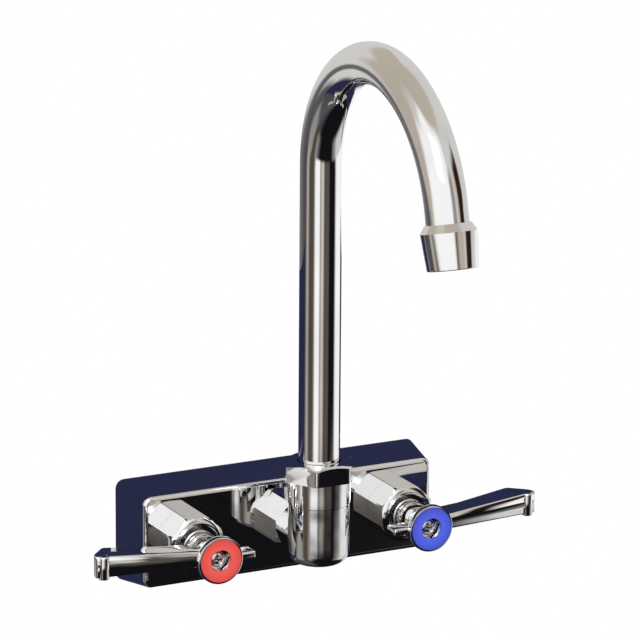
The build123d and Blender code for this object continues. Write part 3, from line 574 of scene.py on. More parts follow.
def turned_finish(name, tones, roughness, centre, axis, plated_from=None):
    """Metal turned round an axis, with tool rings, tarnish and perhaps a plated nose."""
    material, place = new_finish(name, 1.0, roughness)
    patches = spread(grain(place, TARNISH_WIDTH, FINEST), FULL_RANGE)
    metal = two_tone(patches, *tones)
    if plated_from is not None:
        nose = combine("LESS_THAN", along(place, "Y"), -plated_from * MM)
        metal = two_tone(nose, metal, CHROME_DEEP)
    marks = tool_marks(placed(place, centre), axis)
    dull = spread(patches, (roughness * CLEAN_SHARE, roughness * TARNISHED_SHARE), FULL_RANGE)
    marked = combine("ADD", dull, combine("MULTIPLY", marks, TOOL_ROUGHNESS))
    return complete(material, metal, marked, marks, TOOL_DEPTH)


print("tool rings every", TOOL_PITCH, "mm")

# %% Brass and steel
STEEL_SHINE, STEEL_LIGHT, STEEL_DEEP = (0.84, 0.84, 0.85), (0.66, 0.66, 0.67), (0.42, 0.42, 0.44)
BRASS, BRASS_ROUGHNESS = (BRASS_LIGHT, BRASS_DEEP), 0.22
STEEL, STEEL_ROUGHNESS = (STEEL_LIGHT, STEEL_DEEP), 0.20
BRIGHT_STEEL, BRIGHT_ROUGHNESS = (STEEL_SHINE, STEEL_LIGHT), 0.09
NOSE_PLATE_DEPTH = 31.0
RISER_Y = (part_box("swivel_nut")[0][1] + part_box("swivel_nut")[1][1]) / 2 / MM
RISER_AXIS = (0, RISER_Y, 0)
brass, steel, bright_steel = {}, {}, {}
for side, centre in VALVE_AXES.items():
    brass[side] = turned_finish(
        f"{side}_brass", BRASS, BRASS_ROUGHNESS, centre, "y", plated_from=NOSE_PLATE_DEPTH
    )
    steel[side] = turned_finish(f"{side}_steel", STEEL, STEEL_ROUGHNESS, centre, "y")
    bright_steel[side] = turned_finish(
        f"{side}_screw_steel", BRIGHT_STEEL, BRIGHT_ROUGHNESS, centre, "y"
    )
riser_brass = turned_finish("riser_brass", BRASS, BRASS_ROUGHNESS, RISER_AXIS, "z")
print("riser axis at", round(RISER_Y, 1), "mm")

# %% [markdown]
# ## Soft and ceramic parts
# Rubber rings are matt black with a faint bloom. Fibre washers are pressed from dyed fibres, so their
# colour runs in short strands. Nylon is milky, moulded plastic has a fine satin skin, and the valve's
# two ceramic discs are lapped flat until they shine.

# %% Rubber, fibre, nylon, plastic and ceramic
EVEN, STRANDS = (1, 1, 1), (1, 1, 0.2)
DULL_PATCHES = 3
# Light and deep tone, width of the grains in mm, their stretch, roughness range and relief in mm.
SOFT_FINISHES = {
    "black_rubber": ((0.030, 0.030, 0.031), (0.055, 0.054, 0.052), 0.8, EVEN, (0.55, 0.75), 0.010),
    "red_fibre": ((0.36, 0.10, 0.07), (0.22, 0.06, 0.045), 0.5, STRANDS, (0.75, 0.92), 0.020),
    "white_nylon": ((0.88, 0.88, 0.85), (0.80, 0.80, 0.76), 2.0, EVEN, (0.32, 0.48), 0.004),
    "grey_plastic": ((0.56, 0.57, 0.59), (0.48, 0.49, 0.51), 0.4, EVEN, (0.38, 0.52), 0.008),
    "lapped_ceramic": ((0.93, 0.92, 0.89), (0.88, 0.87, 0.84), 0.3, EVEN, (0.06, 0.16), 0.001),
}
NYLON_DEPTH = 1.0
NYLON_GLOW = 0.15


def dull_finish(name, light, deep, width, stretch, roughness, depth):
    """Non-metal in two tones, whose roughness changes in patches wider than its grains."""
    material, place = new_finish(name, 0.0, roughness[0])
    grains = grain(placed(place, stretch=stretch), width, FINEST)
    tone = two_tone(spread(grains, FULL_RANGE), light, deep)
    patches = spread(grain(place, width * DULL_PATCHES), roughness)
    return complete(material, tone, patches, grains, depth)


soft = {name: dull_finish(name, *values) for name, values in SOFT_FINISHES.items()}
milkiness = {"Subsurface Weight": NYLON_GLOW, "Subsurface Scale": NYLON_DEPTH * MM}
feed(shader_of(soft["white_nylon"]), milkiness)
print("soft finishes:", *soft)

# %% [markdown]
# ## Index rings
# The red and blue rings tell hot from cold. They are moulded in clear-toned plastic, a little deeper
# in colour toward the rim where the plastic is thicker, with fine swirls from moulding.

# %% Index rings
INDEX_TONES = {
    "hot": ((0.86, 0.105, 0.090), (0.70, 0.060, 0.055)),
    "cold": ((0.085, 0.130, 0.80), (0.050, 0.075, 0.60)),
}
INDEX_INNER, INDEX_OUTER = 5.8, 9.5
GLOSS, GLOSS_RANGE = 0.25, (0.18, 0.34)
RIM_SHARE, SWIRL_SHARE = 0.75, 0.25
SWIRL_WIDTH = 2.5
SKIN_WIDTH, SKIN_DEPTH = 1.2, 0.006


def index_finish(name, tones, centre):
    """Glossy coloured plastic, deeper toward the ring's rim."""
    material, place = new_finish(name, 0.0, GLOSS)
    out = distance_from_axis(place, centre, "y")
    depth = spread(out, (0.0, RIM_SHARE), (INDEX_INNER * MM, INDEX_OUTER * MM))
    swirl = grain(placed(place, centre), SWIRL_WIDTH, FINE)
    tone = combine("ADD", depth, spread(swirl, (0.0, SWIRL_SHARE)))
    colour, roughness = two_tone(tone, *tones), spread(swirl, GLOSS_RANGE)
    return complete(material, colour, roughness, grain(place, SKIN_WIDTH), SKIN_DEPTH)


index = {}
for side, colour in (("hot", "red"), ("cold", "blue")):
    index[side] = index_finish(f"{side}_index_{colour}", INDEX_TONES[side], VALVE_AXES[side])
print("index rings:", *(material.name for material in index.values()))

# %% [markdown]
# ## Painting the CAD parts
# The record says what each CAD part is made of, and the frame names each material slot after it. Only
# the block and the cast elbow are told apart by name.

# %% Give every CAD node its finish
BY_NAME = {"body": block_chrome, "spout_elbow": cast_chrome}
BY_SLOT = {"chrome": chrome, "ceramic": soft["lapped_ceramic"], **soft}
BY_SIDE = {"brass": brass, "steel": steel, "hot_red": index, "cold_blue": index}


def node_finish(name, slot):
    """Finish of a CAD node by its name, or by its slot in the record and its side."""
    if name in BY_NAME:
        return BY_NAME[name]
    if slot in BY_SLOT:
        return BY_SLOT[slot]
    return BY_SIDE[slot].get(name.split("_")[0], riser_brass)


used = {}
for name, node in sorted(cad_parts.items()):
    for holder in node.material_slots:
        holder.material = node_finish(name, holder.material.name)
        used[holder.material.name] = used.get(holder.material.name, 0) + 1
print("finishes on CAD nodes:", used)

# %% [markdown]
# ## Modelling helpers
# The pieces below start as an outline that is drawn point by point. Spun round an axis it becomes a
# turned part, and filled and extruded it becomes a cast one. An outline holds every measure of a part
# in one place. Operators act on whatever is selected, so helpers select by name or by place.

# %% Helpers: selecting
WELD_DISTANCE = 0.001 * MM


def to_metres(*point):
    """Vector in metres from millimetres."""
    return Vector(point) * MM


def box_mm(node):
    """Low and high corner of a CAD node's box, in millimetres."""
    return [[value / MM for value in corner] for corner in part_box(node)]


def take(piece, *others):
    """Select these pieces only, and make the first one active."""
    bpy.ops.object.select_all(action="DESELECT")
    for each in (piece, *others):
        each.select_set(True)
    bpy.context.view_layer.objects.active = piece


def apply_transform():
    """Write the active piece's place, turn and size into its mesh."""
    bpy.ops.object.transform_apply(location=True, rotation=True, scale=True)


def select_mesh():
    """Select the whole mesh."""
    bpy.ops.mesh.select_all(action="SELECT")


def edit_everything():
    """Enter edit mode on the active piece with its whole mesh selected."""
    bpy.ops.object.mode_set(mode="EDIT")
    select_mesh()


def pick(piece, kind, test):
    """Select the edges or vertices whose places pass a test, in millimetres."""
    bpy.ops.mesh.select_mode(type="VERT" if kind == "vertices" else "EDGE")
    bpy.ops.mesh.select_all(action="DESELECT")
    bpy.ops.object.mode_set(mode="OBJECT")
    spots = [vertex.co / MM for vertex in piece.data.vertices]
    if kind == "vertices":
        for vertex in piece.data.vertices:
            vertex.select = test(spots[vertex.index])
    else:
        for edge in piece.data.edges:
            edge.select = test(spots[edge.vertices[0]], spots[edge.vertices[1]])
    bpy.ops.object.mode_set(mode="EDIT")


def leave_mesh():
    """Leave edit mode."""
    bpy.ops.object.mode_set(mode="OBJECT")


def close_shell():
    """Merge doubles and turn all faces outwards, then leave edit mode."""
    bpy.ops.mesh.select_mode(type="VERT")
    select_mesh()
    bpy.ops.mesh.remove_doubles(threshold=WELD_DISTANCE)
    bpy.ops.mesh.normals_make_consistent(inside=False)
    leave_mesh()


print("points closer than", WELD_DISTANCE / MM, "mm are welded")

# %% Helpers: outlines and turned pieces
LATHE_STEPS = 96
AXIS_DIRECTIONS = {"y": (0, 1, 0), "z": (0, 0, 1)}


def draw_outline(name, points):
    """Draw a line through these points, in metres, and stay in edit mode."""
    bpy.ops.mesh.primitive_plane_add(size=MM, location=(0, 0, 0))
    piece = bpy.context.object
    piece.name = name
    edit_everything()
    bpy.ops.mesh.merge(type="CENTER")
    bpy.ops.transform.translate(value=points[0])
    for start, end in zip(points, points[1:]):
        bpy.ops.mesh.extrude_region_move(TRANSFORM_OT_translate={"value": end - start})
    return piece


def outline_point(centre, axis, radius, level):
    """Point in metres at a radius and a level; levels along y are depths in front of the wall."""
    if axis == "y":
        return to_metres(centre[0] + radius, -level, centre[2])
    return to_metres(centre[0] + radius, centre[1], level)


def turn_piece(name, outline, centre, axis):
    """Turned piece: an outline of radius and level, in millimetres, spun round an axis."""
    piece = draw_outline(name, [outline_point(centre, axis, *point) for point in outline])
    select_mesh()
    bpy.ops.mesh.spin(
        steps=LATHE_STEPS, angle=2 * math.pi, center=to_metres(*centre), axis=AXIS_DIRECTIONS[axis]
    )
    close_shell()
    return piece


print("a turned piece has", LATHE_STEPS, "steps round its axis")

# %% Helpers: modifiers, copies and seating
SOFT_STEPS = 4
SOFT_ANGLE = 32
SMOOTH_ANGLE = 34
CRISP_WEIGHT = 80


def apply_modifier(piece, kind, **settings):
    """Add a modifier, set it and apply it."""
    bpy.context.view_layer.objects.active = piece
    modifier = piece.modifiers.new(kind.lower(), kind)
    for key, value in settings.items():
        setattr(modifier, key, value)
    bpy.ops.object.modifier_apply(modifier=modifier.name)


def apply_boolean(piece, tool, operation):
    """Cut a piece with a tool, or keep what both share, and remove the tool."""
    apply_modifier(piece, "BOOLEAN", operation=operation, object=tool, solver="EXACT")
    bpy.data.objects.remove(tool)


def cuboid(middle, size):
    """Box with this middle and size, in millimetres."""
    bpy.ops.mesh.primitive_cube_add(size=MM, location=to_metres(*middle), scale=size)
    apply_transform()
    return bpy.context.object


def soften(piece, width, angle=SOFT_ANGLE):
    """Round every edge that is sharper than an angle, in degrees."""
    apply_modifier(
        piece, "BEVEL", width=width * MM, segments=SOFT_STEPS, limit_method="ANGLE",
        angle_limit=math.radians(angle), use_clamp_overlap=True, harden_normals=False,
    )


def copy_piece(piece, name):
    """Copy of a piece with its own mesh, taken and in edit mode."""
    copy = piece.copy()
    copy.data = piece.data.copy()
    copy.name = name
    bpy.context.scene.collection.objects.link(copy)
    take(copy)
    edit_everything()
    return copy


def other_side(piece, name):
    """Mirrored copy of a right-hand piece."""
    copy = copy_piece(piece, name)
    bpy.ops.transform.mirror(constraint_axis=(True, False, False), center_override=(0, 0, 0))
    bpy.ops.mesh.normals_make_consistent(inside=False)
    leave_mesh()
    return copy


def finish_piece(piece, material, body, node=None, crisp=False):
    """Shade, paint and seat a piece, perhaps for a CAD node; crisp flats reflect as planes."""
    take(piece)
    apply_transform()
    bpy.ops.object.shade_smooth_by_angle(angle=math.radians(SMOOTH_ANGLE))
    if crisp:
        settings = {"mode": "FACE_AREA", "weight": CRISP_WEIGHT, "keep_sharp": True}
        apply_modifier(piece, "WEIGHTED_NORMAL", **settings)
    piece.data.materials.clear()
    piece.data.materials.append(material)
    piece.select_set(False)
    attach(piece, body)
    if node is not None:
        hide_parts(node)
    print(piece.name, "has", len(piece.data.polygons), "faces and rides on", body)


print("edges under", SMOOTH_ANGLE, "degrees are shaded smooth")

# %% [markdown]
# ## Bonnets
# A bonnet is turned from brass bar with eight flats, and its front is domed so that the flats end in
# soft arcs. Here the turned form and the octagon bar are made apart, and a boolean keeps what both
# share, just as the lathe does with real bar. The bar's corners are rounded first, because polishing
# never leaves a knife edge, and a rounded edge catches a line of light.

# %% Bonnet values
BONNET_FLATS = 24.4
BONNET_CORNER = BONNET_FLATS / 2 / math.cos(math.radians(22.5))
BONNET_STOCK = BONNET_CORNER + 0.3
BONNET_FRONT, BONNET_BACK = (-corner[1] for corner in box_mm("cold_bonnet_nut"))
BLOCK_FRONT = -box_mm("body")[0][1]
FACE_GAP = 0.05
DOME_HEIGHT = 3.2
DOME_STEPS = 8
RECESS_RADIUS, RECESS_LAND, RECESS_FLOOR = 9.5, 0.4, 29.55
NOSE_HOLE = 7.6
BONNET_SEAT = 26.05
CARTRIDGE_BORE = 9.7
THREAD_RADIUS = 11.0
print("bonnet from", round(BONNET_BACK, 2), "to", round(BONNET_FRONT, 2), "mm in front of the wall")


# %% Bar with rounded corners
BAR_CORNER_ROUND = 0.8
BAR_CORNER_STEPS = 3
BAR_SPARE = 2
LONG_EDGE = 1


def rounded_bar(sides, corner, centre, axis, low, high):
    """Length of bar along y or z, between two levels, with a flat on top or in front."""
    direction = AXIS_DIRECTIONS[axis]
    bpy.ops.mesh.primitive_cylinder_add(
        vertices=sides, radius=corner * MM, depth=(high - low) * MM,
        location=outline_point(centre, axis, 0, (high + low) / 2),
        rotation=(math.pi / 2 if axis == "y" else 0, 0, 0),
    )
    bar = bpy.context.object
    apply_transform()
    edit_everything()
    bpy.ops.transform.rotate(
        value=math.pi / sides, orient_axis=axis.upper(), center_override=to_metres(*centre)
    )
    pick(bar, "edges", lambda a, b: abs((a - b).dot(direction)) > LONG_EDGE)
    bpy.ops.mesh.bevel(offset=BAR_CORNER_ROUND * MM, segments=BAR_CORNER_STEPS, affect="EDGES")
    close_shell()
    return bar


print("a bar's corners are rounded by", BAR_CORNER_ROUND, "mm")


# %% Bonnets
def dome_points():
    """Dome from the bar's corners to the recess, as a quarter of an ellipse."""
    inner = RECESS_RADIUS + RECESS_LAND
    for step in range(DOME_STEPS + 1):
        turn = math.pi / 2 * step / DOME_STEPS
        yield (
            inner + (BONNET_STOCK - inner) * math.cos(turn),
            BONNET_FRONT - DOME_HEIGHT + DOME_HEIGHT * math.sin(turn),
        )


bonnet_outline = [
    (CARTRIDGE_BORE, BONNET_BACK), (THREAD_RADIUS, BONNET_BACK),
    (THREAD_RADIUS, BLOCK_FRONT + FACE_GAP), (BONNET_STOCK, BLOCK_FRONT + FACE_GAP),
    *dome_points(),
    (RECESS_RADIUS, BONNET_FRONT), (RECESS_RADIUS, RECESS_FLOOR), (NOSE_HOLE, RECESS_FLOOR),
    (NOSE_HOLE, BONNET_SEAT), (CARTRIDGE_BORE, BONNET_SEAT), (CARTRIDGE_BORE, BONNET_BACK),
]
cold_bonnet = turn_piece("cold_bonnet", bonnet_outline, VALVE_AXES["cold"], "y")
octagon = rounded_bar(
    8, BONNET_CORNER, VALVE_AXES["cold"], "y", BONNET_BACK - BAR_SPARE, BONNET_FRONT + BAR_SPARE
)
apply_boolean(cold_bonnet, octagon, "INTERSECT")
hot_bonnet = other_side(cold_bonnet, "hot_bonnet")
finish_piece(cold_bonnet, chrome, "fixture", "cold_bonnet_nut", crisp=True)
finish_piece(hot_bonnet, chrome, "fixture", "hot_bonnet_nut", crisp=True)

# %% [markdown]
# ## Swivel nut
# The nut is turned from hexagon bar: a round skirt below, six flats above, and chamfers that take the
# corners off. The same two steps as for the bonnet make it, with the bar standing upright. Its flats
# are shaded across their rounded corners, because the photographed nut is buffed and not crisp.

# %% Swivel nut values
nut_low, nut_high = box_mm("swivel_nut")
NUT_LOW, NUT_HIGH, NUT_FLATS = nut_low[2], nut_high[2], nut_high[1] - nut_low[1]
NUT_CORNER = NUT_FLATS / math.sqrt(3)
NUT_MARGIN = 0.2
NUT_STOCK = NUT_CORNER + NUT_MARGIN
SKIRT_RADIUS, SKIRT_TOP, SKIRT_EDGE = 13.6, 28.0, 0.3
NUT_THREAD = 11.6
NUT_CAP = 5.5
TUBE_HOLE, HOLE_EDGE = 9.3, 0.4
CHAMFER_WIDTH, CHAMFER_HEIGHT, CHAMFER_RUNOUT = 3.0, 1.6, 0.1
LOW_CHAMFER = 0.6
print("swivel nut:", round(NUT_FLATS, 1), "mm over its flats")

# %% Swivel nut
nut_outline = [
    (NUT_THREAD, NUT_LOW), (SKIRT_RADIUS - SKIRT_EDGE, NUT_LOW),
    (SKIRT_RADIUS, NUT_LOW + SKIRT_EDGE), (SKIRT_RADIUS, SKIRT_TOP),
    (NUT_CORNER - LOW_CHAMFER, SKIRT_TOP), (NUT_STOCK, SKIRT_TOP + LOW_CHAMFER + NUT_MARGIN),
    (NUT_STOCK, NUT_HIGH - CHAMFER_HEIGHT - CHAMFER_RUNOUT), (NUT_CORNER - CHAMFER_WIDTH, NUT_HIGH),
    (TUBE_HOLE + HOLE_EDGE, NUT_HIGH), (TUBE_HOLE, NUT_HIGH - HOLE_EDGE),
    (TUBE_HOLE, NUT_HIGH - NUT_CAP), (NUT_THREAD, NUT_HIGH - NUT_CAP), (NUT_THREAD, NUT_LOW),
]
nut = turn_piece("spout_nut", nut_outline, RISER_AXIS, "z")
hexagon = rounded_bar(6, NUT_CORNER, RISER_AXIS, "z", NUT_LOW - BAR_SPARE, NUT_HIGH + BAR_SPARE)
apply_boolean(nut, hexagon, "INTERSECT")
finish_piece(nut, cast_chrome, "fixture", "swivel_nut")

# %% [markdown]
# ## Lever handles: the hub
# A handle is cast in one: a hub with a beaded neck, a blade, a finger bead at its tip and a tail. The
# hub is round, so it is spun from one outline that runs out along its outside and back through the
# ring's seat, the screw's well and the stem's socket.

# %% Hub values
handle_low, handle_high = box_mm("cold_lever_handle")
HUB_FRONT, NECK_BACK, HUB_RADIUS = -handle_low[1], -handle_high[1], handle_high[2]
RIM_BACK = HUB_FRONT - 3.4
CONE_BACK = RIM_BACK - 7.2
# Each pair is a radius and how far it lies in front of the neck's back or the cone's back.
NECK_BEAD = [(6.9, 0.0), (7.2, 0.5), (7.2, 2.3), (6.9, 2.8)]
NECK_GROOVE = [(6.1, 2.9), (6.1, 3.6), (6.6, 3.8), (6.7, 4.2)]
HUB_CONE = [(6.7, 0.0), (7.1, 1.4), (8.6, 4.6)]
CONE_END, CONE_LEAD = 9.9, 0.5
RIM_START, RIM_ROUND, RIM_CORNER = 0.3, 0.5, 0.15
RING_SEAT_RADIUS, RING_SEAT_DEPTH = 9.55, 1.0
WELL_RADIUS, WELL_DEPTH = 4.5, 5.6
SCREW_HOLE, SEAT_WEB, SOCKET_RADIUS = 2.1, 2.2, 4.1
print("hub:", round(2 * HUB_RADIUS, 1), "mm wide,", round(HUB_FRONT - NECK_BACK, 1), "mm deep")

# %% Hub
well_floor = HUB_FRONT - WELL_DEPTH
hub_outline = [
    (SOCKET_RADIUS, NECK_BACK),
    *((radius, NECK_BACK + ahead) for radius, ahead in NECK_BEAD + NECK_GROOVE),
    *((radius, CONE_BACK + ahead) for radius, ahead in HUB_CONE),
    (CONE_END, RIM_BACK - CONE_LEAD), (HUB_RADIUS, RIM_BACK + RIM_START),
    (HUB_RADIUS, HUB_FRONT - RIM_ROUND), (HUB_RADIUS - RIM_CORNER, HUB_FRONT - RIM_CORNER),
    (HUB_RADIUS - RIM_ROUND, HUB_FRONT), (RING_SEAT_RADIUS, HUB_FRONT),
    (RING_SEAT_RADIUS, HUB_FRONT - RING_SEAT_DEPTH), (WELL_RADIUS, HUB_FRONT - RING_SEAT_DEPTH),
    (WELL_RADIUS, well_floor), (SCREW_HOLE, well_floor), (SCREW_HOLE, well_floor - SEAT_WEB),
    (SOCKET_RADIUS, well_floor - SEAT_WEB), (SOCKET_RADIUS, NECK_BACK),
]
hub = turn_piece("cold_handle", hub_outline, VALVE_AXES["cold"], "y")
print("hub has", len(hub.data.polygons), "faces")

# %% [markdown]
# ## Lever handles: the blade
# The blade sweeps back and rises as it goes out. It is drawn from above, filled and extruded to one
# height, and then each corner of its top is raised to its own.

# %% Blade values
LEVER_TIP = handle_high[0] - VALVE_X
BLADE_SETBACK = 1.0
BLADE_SWEEP = 5.5
BLADE_ROOT = 5.0
BLADE_LOW, BLADE_ROOT_TOP, BLADE_TIP_TOP = -1.9, 4.3, 7.8
# Corners of the plan: how far out from the valve axis, and how far behind the blade's front.
TIP_BACK = (LEVER_TIP - 0.6, 4.0)
BLADE_HEEL = (LEVER_TIP - 8.2, 13.3)
BLADE_WAIST = (20.0, 11.0)
ROOT_BACK = (BLADE_ROOT, 12.35)
CORNER_ROUNDS = [((LEVER_TIP, 0), 1.6), (TIP_BACK, 2.6), (BLADE_HEEL, 1.8)]
CORNER_SHARE = 0.7
NEAR = 0.1


def blade_front(reach):
    """Depth of the blade's front at a distance out from the valve axis."""
    return HUB_FRONT - BLADE_SETBACK - BLADE_SWEEP * reach / LEVER_TIP


def blade_top(reach):
    """Height of the blade's top at a distance out."""
    return BLADE_ROOT_TOP + (BLADE_TIP_TOP - BLADE_ROOT_TOP) * reach / LEVER_TIP


print("lever reaches", round(LEVER_TIP, 1), "mm from the valve axis")

# %% Blade
plan = [(BLADE_ROOT, 0), (LEVER_TIP, 0), TIP_BACK, BLADE_HEEL, BLADE_WAIST, ROOT_BACK]
corners = [to_metres(VALVE_X + reach, back - blade_front(reach), BLADE_LOW) for reach, back in plan]
blade = draw_outline("blade", corners + corners[:1])
select_mesh()
bpy.ops.mesh.remove_doubles(threshold=WELD_DISTANCE)
select_mesh()
bpy.ops.mesh.edge_face_add()
rise = to_metres(0, 0, BLADE_ROOT_TOP - BLADE_LOW)
bpy.ops.mesh.extrude_region_move(TRANSFORM_OT_translate={"value": rise})


def at_corner(spot, reach, back):
    """Whether a spot lies over a corner of the plan."""
    return abs(spot.x - VALVE_X - reach) < NEAR and abs(spot.y - back + blade_front(reach)) < NEAR


for reach, back in plan:
    pick(blade, "vertices", lambda spot: spot.z > 0 and at_corner(spot, reach, back))
    bpy.ops.transform.translate(value=to_metres(0, 0, blade_top(reach) - BLADE_ROOT_TOP))
for (reach, back), radius in CORNER_ROUNDS:
    pick(blade, "edges", lambda a, b: at_corner(a, reach, back) and at_corner(b, reach, back))
    bpy.ops.mesh.bevel(offset=radius * CORNER_SHARE * MM, segments=SOFT_STEPS, affect="EDGES")
print("blade rises from", BLADE_ROOT_TOP, "to", BLADE_TIP_TOP, "mm above the valve axis")

# %% [markdown]
# ## Lever handles: the crown
# The blade's front is slightly crowned, so its upper half shows the bright wall and its lower half
# the dark floor. A flat front would show one tone only. Four cuts along the blade divide the front,
# and each cut is pulled forward by its share of a parabola.

# %% Crown and rounded edges
BLADE_CROWN = 0.45
CROWN_CUTS = (0.2, 0.4, 0.6, 0.8)
FRONT_NEAR, SHARE_NEAR = 0.02, 0.03
BLADE_ROUND, BLADE_ROUND_ANGLE = 0.9, 45
STRAY_SIZE = 0.03 * MM


def on_front(spot, cut):
    """Whether a spot is on the blade's front, at this share of its height."""
    reach = spot.x - VALVE_X
    share = (spot.z - BLADE_LOW) / (blade_top(reach) - BLADE_LOW)
    return abs(spot.y + blade_front(reach)) < FRONT_NEAR and abs(share - cut) < SHARE_NEAR


for cut in CROWN_CUTS:
    tip_level = BLADE_LOW + cut * (BLADE_TIP_TOP - BLADE_LOW)
    root_level = BLADE_LOW + cut * (BLADE_ROOT_TOP - BLADE_LOW)
    across = Vector((root_level - tip_level, 0, LEVER_TIP)).normalized()
    select_mesh()
    bpy.ops.mesh.bisect(plane_co=to_metres(VALVE_X, 0, root_level), plane_no=across)
for cut in CROWN_CUTS:
    pick(blade, "vertices", lambda spot: on_front(spot, cut))
    bpy.ops.transform.translate(value=to_metres(0, -BLADE_CROWN * (1 - (2 * cut - 1) ** 2), 0))
close_shell()
soften(blade, BLADE_ROUND, BLADE_ROUND_ANGLE)
edit_everything()
bpy.ops.mesh.dissolve_degenerate(threshold=STRAY_SIZE)
close_shell()
print("crown:", BLADE_CROWN, "mm over", len(CROWN_CUTS), "cuts")

# %% [markdown]
# ## Lever handles: finger bead and tail
# The bead is a short upright rod that lets a finger feel the lever's end, and the tail balances the
# blade. Both are drawn a little into the blade or hub, as a casting flows together, and their edges
# are rounded before all four forms are joined. The hot handle is the mirrored copy of the cold one.

# %% Finger bead
BEAD_SETBACK, BEAD_RADIUS = 4.0, 2.4
BEAD_DROP, BEAD_PROUD = 0.9, 1.25
BEAD_SIDES, BEAD_ROUND = 40, 0.7
bead_reach = LEVER_TIP - BEAD_SETBACK
bead_low, bead_high = BLADE_LOW - BEAD_DROP, blade_top(bead_reach)
bead_depth = blade_front(bead_reach) + BEAD_PROUD - BEAD_RADIUS
bpy.ops.mesh.primitive_cylinder_add(
    vertices=BEAD_SIDES, radius=BEAD_RADIUS * MM, depth=(bead_high - bead_low) * MM,
    location=to_metres(VALVE_X + bead_reach, -bead_depth, (bead_high + bead_low) / 2),
)
bead = bpy.context.object
soften(bead, BEAD_ROUND)
print("bead:", 2 * BEAD_RADIUS, "mm thick,", round(bead_high - bead_low, 1), "mm high")

# %% Tail, and the handles joined
TAIL_REACH, TAIL_ROOT = 17.3, 5.0
TAIL_WIDTH, TAIL_THICKNESS, TAIL_ROUND = 8.0, 3.3, 0.9
TAIL_FRONT = HUB_FRONT - 1.6
tail_middle = (VALVE_X - (TAIL_REACH + TAIL_ROOT) / 2, -(TAIL_FRONT - TAIL_WIDTH / 2), 0)
tail = cuboid(tail_middle, (TAIL_REACH - TAIL_ROOT, TAIL_WIDTH, TAIL_THICKNESS))
soften(tail, TAIL_ROUND)
take(hub, blade, bead, tail)
bpy.ops.object.join()
cold_handle = bpy.context.object
hot_handle = other_side(cold_handle, "hot_handle")
finish_piece(cold_handle, cast_chrome, "cold_handle", "cold_lever_handle")
finish_piece(hot_handle, cast_chrome, "hot_handle", "hot_lever_handle")

# %% [markdown]
# ## Handle screws
# A pan-head screw holds each handle. Its thread is a ridge that really climbs round the shank, made
# by sweeping one triangle up a helix. The cross recess is cut with a boolean, and its edges catch the
# light inside the coloured ring. A picture of a cross would stay flat from every side.

# %% Screw values
screw_low, screw_high = box_mm("cold_handle_screw")
SCREW_TIP, HEAD_RADIUS = -screw_high[1], (screw_high[2] - screw_low[2]) / 2
HEAD_SEAT = HUB_FRONT - WELL_DEPTH
HEAD_RIM = HEAD_SEAT + 1.9
HEAD_TOP = HEAD_RIM + 1.3
HEAD_EDGE = 0.3
# Each pair is how far in from the head's side, and how far in front of its rim.
HEAD_DOME = [(0.25, 0.35), (0.9, 0.85)]
DOME_FLAT, DOME_DROP = 1.6, 0.1
POINT_RADIUS, POINT_LENGTH = 1.2, 0.4
COLLAR_START, COLLAR_END = 0.6, 0.3
CORE_RADIUS, CREST_RADIUS, SCREW_PITCH = 1.6, 2.0, 0.7
CROSS_LENGTH, CROSS_WIDTH, CROSS_DEPTH = 4.4, 1.0, 1.6
CROSS_TURN = math.radians(24)
print("screw head stands", round(HUB_FRONT - HEAD_TOP, 1), "mm behind the hub's front")

# %% Screw with its cross recess
screw_outline = [
    (0, SCREW_TIP), (POINT_RADIUS, SCREW_TIP), (CORE_RADIUS, SCREW_TIP + POINT_LENGTH),
    (CORE_RADIUS, HEAD_SEAT - COLLAR_START), (CREST_RADIUS, HEAD_SEAT - COLLAR_END),
    (CREST_RADIUS, HEAD_SEAT), (HEAD_RADIUS - HEAD_EDGE, HEAD_SEAT),
    (HEAD_RADIUS, HEAD_SEAT + HEAD_EDGE), (HEAD_RADIUS, HEAD_RIM - HEAD_EDGE),
    *((HEAD_RADIUS - inward, HEAD_RIM + ahead) for inward, ahead in HEAD_DOME),
    (DOME_FLAT, HEAD_TOP - DOME_DROP), (0, HEAD_TOP),
]
cold_screw = turn_piece("cold_screw", screw_outline, VALVE_AXES["cold"], "y")
for width, height in ((CROSS_LENGTH, CROSS_WIDTH), (CROSS_WIDTH, CROSS_LENGTH)):
    cutter = cuboid((VALVE_X, -HEAD_TOP, 0), (width, 2 * CROSS_DEPTH, height))
    apply_boolean(cold_screw, cutter, "DIFFERENCE")
print("cross recess:", CROSS_LENGTH, "by", CROSS_WIDTH, "mm")

# %% Thread ridges
HELIX_STEPS = 24


def thread_ridge(name, outline, pitch, turns, centre_x):
    """Closed helical ridge round an axis along y: an outline of radius and depth, swept back."""
    points = [to_metres(radius, -depth, 0) for radius, depth in outline]
    ridge = draw_outline(name, points + points[:1])
    close_shell()
    apply_modifier(
        ridge, "SCREW", axis="Y", angle=2 * math.pi, screw_offset=pitch * MM, iterations=turns,
        steps=HELIX_STEPS, render_steps=HELIX_STEPS, use_merge_vertices=False,
    )
    edit_everything()
    bpy.ops.mesh.fill_holes(sides=0)
    select_mesh()
    bpy.ops.transform.translate(value=to_metres(centre_x, 0, 0))
    close_shell()
    return ridge


print("a thread has", HELIX_STEPS, "steps a turn")

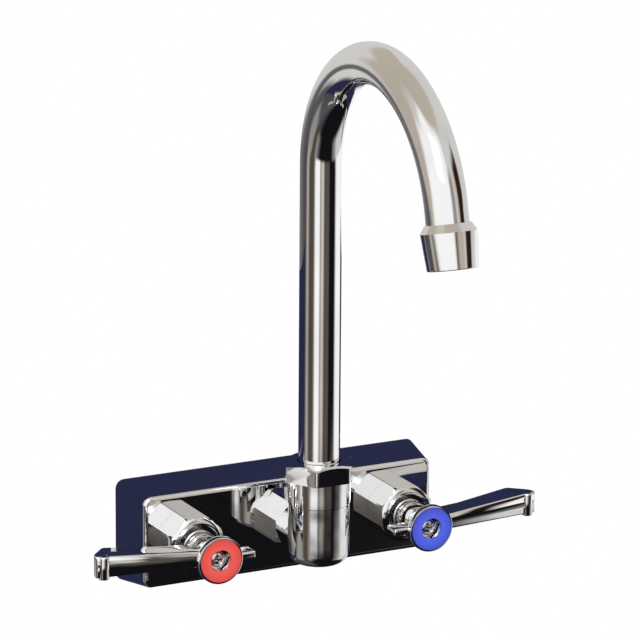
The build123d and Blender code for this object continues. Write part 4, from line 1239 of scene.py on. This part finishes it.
# %% Handle screws
RIDGE_SINK = 0.05
RIDGE_BACK, RIDGE_MIDDLE, RIDGE_FRONT = 1.6, 1.3, 1.0
ridge_outline = [
    (CORE_RADIUS - RIDGE_SINK, HEAD_SEAT - RIDGE_BACK), (CREST_RADIUS, HEAD_SEAT - RIDGE_MIDDLE),
    (CORE_RADIUS - RIDGE_SINK, HEAD_SEAT - RIDGE_FRONT),
]
screw_turns = int((HEAD_SEAT - RIDGE_BACK - SCREW_TIP) / SCREW_PITCH)
ridge = thread_ridge("screw_ridge", ridge_outline, SCREW_PITCH, screw_turns, VALVE_X)
take(cold_screw, ridge)
bpy.ops.object.join()
edit_everything()
middle = to_metres(*VALVE_AXES["cold"])
bpy.ops.transform.rotate(value=CROSS_TURN, orient_axis="Y", center_override=middle)
leave_mesh()
hot_screw = copy_piece(cold_screw, "hot_screw")
bpy.ops.transform.translate(value=to_metres(-2 * VALVE_X, 0, 0))
leave_mesh()
finish_piece(cold_screw, bright_steel["cold"], "cold_handle", "cold_handle_screw")
finish_piece(hot_screw, bright_steel["hot"], "hot_handle", "hot_handle_screw")
print("screw thread:", screw_turns, "turns")

# %% [markdown]
# ## Inlet threads
# The block is fed from behind through two parallel half-inch pipe threads. The block's own holes are
# as wide as the thread's outside, so a ridge of the pipe thread's pitch is laid inside each of them.
# Cutting the thread into the block would mean changing a CAD mesh, which isn't done.

# %% Inlet threads
INLET_BORE = 10.58
INLET_CREST = 9.45
INLET_SINK = 0.02
PIPE_PITCH = 1.814
INLET_START, INLET_TURNS = 9.6, 4
FLANK, LAND = 0.62, 0.12
inlet_outline = [
    (INLET_BORE - INLET_SINK, INLET_START), (INLET_CREST, INLET_START - FLANK),
    (INLET_CREST, INLET_START - FLANK - LAND),
    (INLET_BORE - INLET_SINK, INLET_START - 2 * FLANK - LAND),
]
for side, (centre_x, *_) in VALVE_AXES.items():
    thread = thread_ridge(f"{side}_inlet_thread", inlet_outline, PIPE_PITCH, INLET_TURNS, centre_x)
    finish_piece(thread, brass[side], "fixture")
